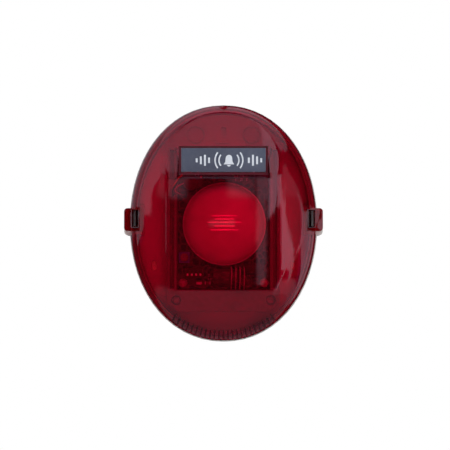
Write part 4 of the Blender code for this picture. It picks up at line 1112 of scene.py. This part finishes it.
def leads():
    """Tinned leads that stand on the board below the lens, and the coil's own lead."""
    back = BOARD_DEPTH[1] + 0.1 * MM
    for i in range(LEAD_COUNT):
        x = LEAD_START + i * LEAD_PITCH
        front = back + LEAD_RISE + LEAD_STAGGER * (i % 2)
        points = [
            (x, back, -26.6 * MM),
            (x + 0.2 * MM, front - 3.0 * MM, -27.0 * MM),
            (x + 0.3 * MM, front, -29.5 * MM),
            (x + 0.1 * MM, front, -35.0 * MM),
            (x, front - 3.5 * MM, -38.9 * MM),
            (x, back, -39.1 * MM),
        ]
        bent_wire(f"lead_{i + 1}", points, LEAD_RADIUS)
    hook = [
        (-24.6 * MM, back, 16.8 * MM),
        (-26.6 * MM, back + 5.0 * MM, 17.6 * MM),
        (-28.6 * MM, back + 7.0 * MM, 19.2 * MM),
        (-27.0 * MM, back + 8.0 * MM, 21.6 * MM),
        (-23.6 * MM, back + 6.6 * MM, 23.4 * MM),
    ]
    bent_wire("coil_lead", hook, COIL_LEAD_RADIUS)


# Stage


# What polished surfaces mirror, by direction seen from the object: azimuth to the right of the
# camera's side and elevation, in degrees, how far the elevations climb per degree of azimuth
# from its middle, edge softness and brightness
SOFTBOXES = {
    "overhead": ((-180, 180), (60, 90), 0.0, 3.0, 0.9),
    "high_left": ((-120, -30), (44, 58), 0.0, 2.0, 0.55),
    "high_left_rim": ((-178, -118), (36, 60), 0.0, 1.0, 0.60),
    "high_right": ((14, 80), (40, 60), 0.0, 1.5, 0.66),
    "high_right_rim": ((80, 178), (37.5, 60), 0.0, 1.0, 0.62),
    "top": ((-60, 10.5), (30, 46), 0.0, 1.5, 0.62),
    "fade_left": ((-14, -5.6), (5.6, 46), 0.0, 0.6, 0.36),
    "fade_right": ((0.6, 4.8), (5.8, 46), 0.0, 0.7, 0.32),
    "top_right": ((6.6, 11), (5.3, 46), 1.3, 0.3, 1.10),
    "top_right_crease": ((10, 31), (4.2, 22), 0.0, 0.6, 1.0),
    "left": ((-118, -49.8), (3.0, 46), 0.0, 0.25, 0.62),
    "left_low": ((-118, -52.4), (-2.3, 20), 0.118, 0.3, 0.62),
    "left_rim": ((-180, -118), (0.0, 46), 0.0, 3.0, 0.25),
    "left_corner": ((-62, -30), (20, 46), 0.0, 2.0, 0.62),
    "left_inner": ((-49, -38), (5.4, 28), 0.0, 0.6, 0.22),
    "wedge": ((4.9, 6.25), (-8, 5.6), 0.0, 0.3, 0.42),
    "wedge_top": ((4.9, 6.8), (5.2, 46), 0.0, 0.4, 0.52),
    "right_inner": ((32, 46.4), (-14, 6.0), -0.22, 0.8, 1.05),
    "right_inner_top": ((36, 60), (5.2, 30), 0.0, 0.8, 0.24),
    "right_gap": ((46.4, 60), (-8, 10), 0.0, 1.0, 0.12),
    "right_band": ((46.2, 49.5), (-30, 3.4), -3.0, 0.2, 1.05),
    "right_band_low": ((46.4, 57), (-14, -4.4), -0.9, 0.8, 0.95),
    "right_band_foot": ((54, 72), (-22, -14.5), -0.9, 1.0, 0.85),
    "right_edge": ((50.8, 122), (-1.5, 5.6), 0.045, 0.3, 0.95),
    "right_edge_inner": ((50.8, 72), (-4.5, 3), -0.35, 0.6, 0.75),
    "right_edge_middle": ((68, 100), (-12.4, -1), -0.35, 0.8, 0.80),
    "right_edge_low": ((98, 122), (-21.5, -5), -0.35, 1.0, 0.85),
    "right_rim": ((84, 122), (-8, 2), 0.0, 1.0, 0.92),
    "right_far": ((122, 143), (-26, 5), 0.0, 1.0, 0.50),
    "right_low": ((44, 135), (-36, -25), 0.0, 1.5, 0.36),
    "lug_left": ((-29, -25.5), (-2, 6), 0.0, 0.6, 0.90),
    "lug_right": ((25.5, 29), (-2, 6), 0.0, 0.6, 0.75),
    "glint": ((-2.2, 1.6), (1.4, 2.3), 0.0, 0.4, 0.28),
    "floor_glow": ((-180, 180), (-90, -30), 0.0, 3.0, 0.20),
}
DARK_ROOM = 0.012
AMBIENT = 0.28
MIRRORED_TINT = (0.95, 0.93, 1.12)

# Soft lights, each with its place, its size in metres and its radiance
LIGHTS = {
    "key": ((0.30, -0.95, 0.75), (0.9, 0.6), 5.4),
    "fill": ((0.10, -1.2, -0.10), (0.5, 0.5), 6.4),
    "low": ((0.10, -1.0, -0.50), (0.6, 0.4), 25.0),
    "back": ((0.2, 1.0, 0.7), (0.9, 0.6), 1.0),
}
FLOOR_Z = -0.32

CAMERA_AIM = Vector((0.9 * MM, -0.03, -1.6 * MM))
CAMERA_DISTANCE = 0.90
CAMERA_TILT = math.radians(-2.0)  # negative when the camera is below its aim
FRAME_WIDTH = 0.2653  # how much the picture spans at the aim
SENSOR_WIDTH = 36.0


def reflected_room(s):
    """The brightness of the room that polished surfaces mirror, one soft window at a time."""
    x, y, z = s.add("ShaderNodeSeparateXYZ", Vector=s.coords).outputs
    forward = s.math("MULTIPLY", y, -1.0)
    azimuth = s.math("MULTIPLY", s.math("ARCTAN2", x, forward), math.degrees(1))
    elevation = s.math("MULTIPLY", s.math("ARCSINE", z), math.degrees(1))
    total = DARK_ROOM
    for across, up, lean, soft, brightness in SOFTBOXES.values():
        climb = s.math("MULTIPLY", s.math("SUBTRACT", azimuth, sum(across) / 2), lean)
        leaning = s.math("SUBTRACT", elevation, climb)
        inside = s.math("MULTIPLY", s.window(azimuth, across, soft), s.window(leaning, up, soft))
        total = s.math("MAXIMUM", total, s.math("MULTIPLY", inside, brightness))
    return total


def build_world():
    """White to the camera, softboxes to mirror, and an even light for everything else."""
    world = bpy.data.worlds.new("studio")
    bpy.context.scene.world = world
    s = Shader.in_world(world)
    room = s.add("ShaderNodeBackground", Color=MIRRORED_TINT, Strength=reflected_room(s))
    ambient = s.add("ShaderNodeBackground", Color=WHITE, Strength=AMBIENT)
    backdrop = s.add("ShaderNodeBackground", Color=WHITE, Strength=1.0)
    rays = s.add("ShaderNodeLightPath").outputs
    unseen = s.layer(rays["Is Glossy Ray"], ambient, room)
    s.finish(s.layer(rays["Is Camera Ray"], unseen, backdrop))


def area_light(name, location, size, radiance):
    """A soft light aimed at the object, which polished surfaces don't mirror."""
    light = bpy.data.lights.new(name, "AREA")
    light.shape = "RECTANGLE"
    light.size, light.size_y = size
    light.energy = radiance * math.pi * size[0] * size[1]
    obj = bpy.data.objects.new(name, light)
    obj.location = location
    obj.rotation_euler = (-Vector(location)).to_track_quat("-Z", "Y").to_euler()
    obj.visible_glossy = False
    obj.visible_camera = False
    bpy.context.scene.collection.objects.link(obj)


def floor_material():
    """Pale matt card with a slow drift in its colour."""
    s = Shader("pale_floor")
    color = s.mix(s.noise(scale=3.0, detail=5.0), (0.80, 0.80, 0.80), (0.86, 0.86, 0.86))
    return s.finish(s.add("ShaderNodeBsdfPrincipled", Base_Color=color, Roughness=0.7))


def build_stage():
    bpy.context.scene.view_settings.view_transform = "Standard"
    build_world()
    bm = bmesh.new()
    bmesh.ops.create_grid(bm, x_segments=1, y_segments=1, size=1.0)
    floor = from_bmesh("floor", bm)
    floor.data.materials.append(floor_material())
    floor.location = (0.0, 0.0, FLOOR_Z)
    floor.visible_glossy = False
    for name, (location, size, radiance) in LIGHTS.items():
        area_light(name, location, size, radiance)


def build_camera():
    camera_data = bpy.data.cameras.new("camera")
    camera_data.sensor_width = SENSOR_WIDTH
    camera_data.lens = SENSOR_WIDTH * CAMERA_DISTANCE / FRAME_WIDTH
    camera = bpy.data.objects.new("camera", camera_data)
    bpy.context.scene.collection.objects.link(camera)
    away = Vector((0.0, -math.cos(CAMERA_TILT), math.sin(CAMERA_TILT)))
    camera.location = CAMERA_AIM + away * CAMERA_DISTANCE
    camera.rotation_euler = (-away).to_track_quat("-Z", "Y").to_euler()
    bpy.context.scene.camera = camera


dress_cad_nodes()
clear_cover()
label_gasket_and_shade()
label_print()
sound_baffle_and_shade()
lens()
surface_parts()
leads()
build_stage()
build_camera()
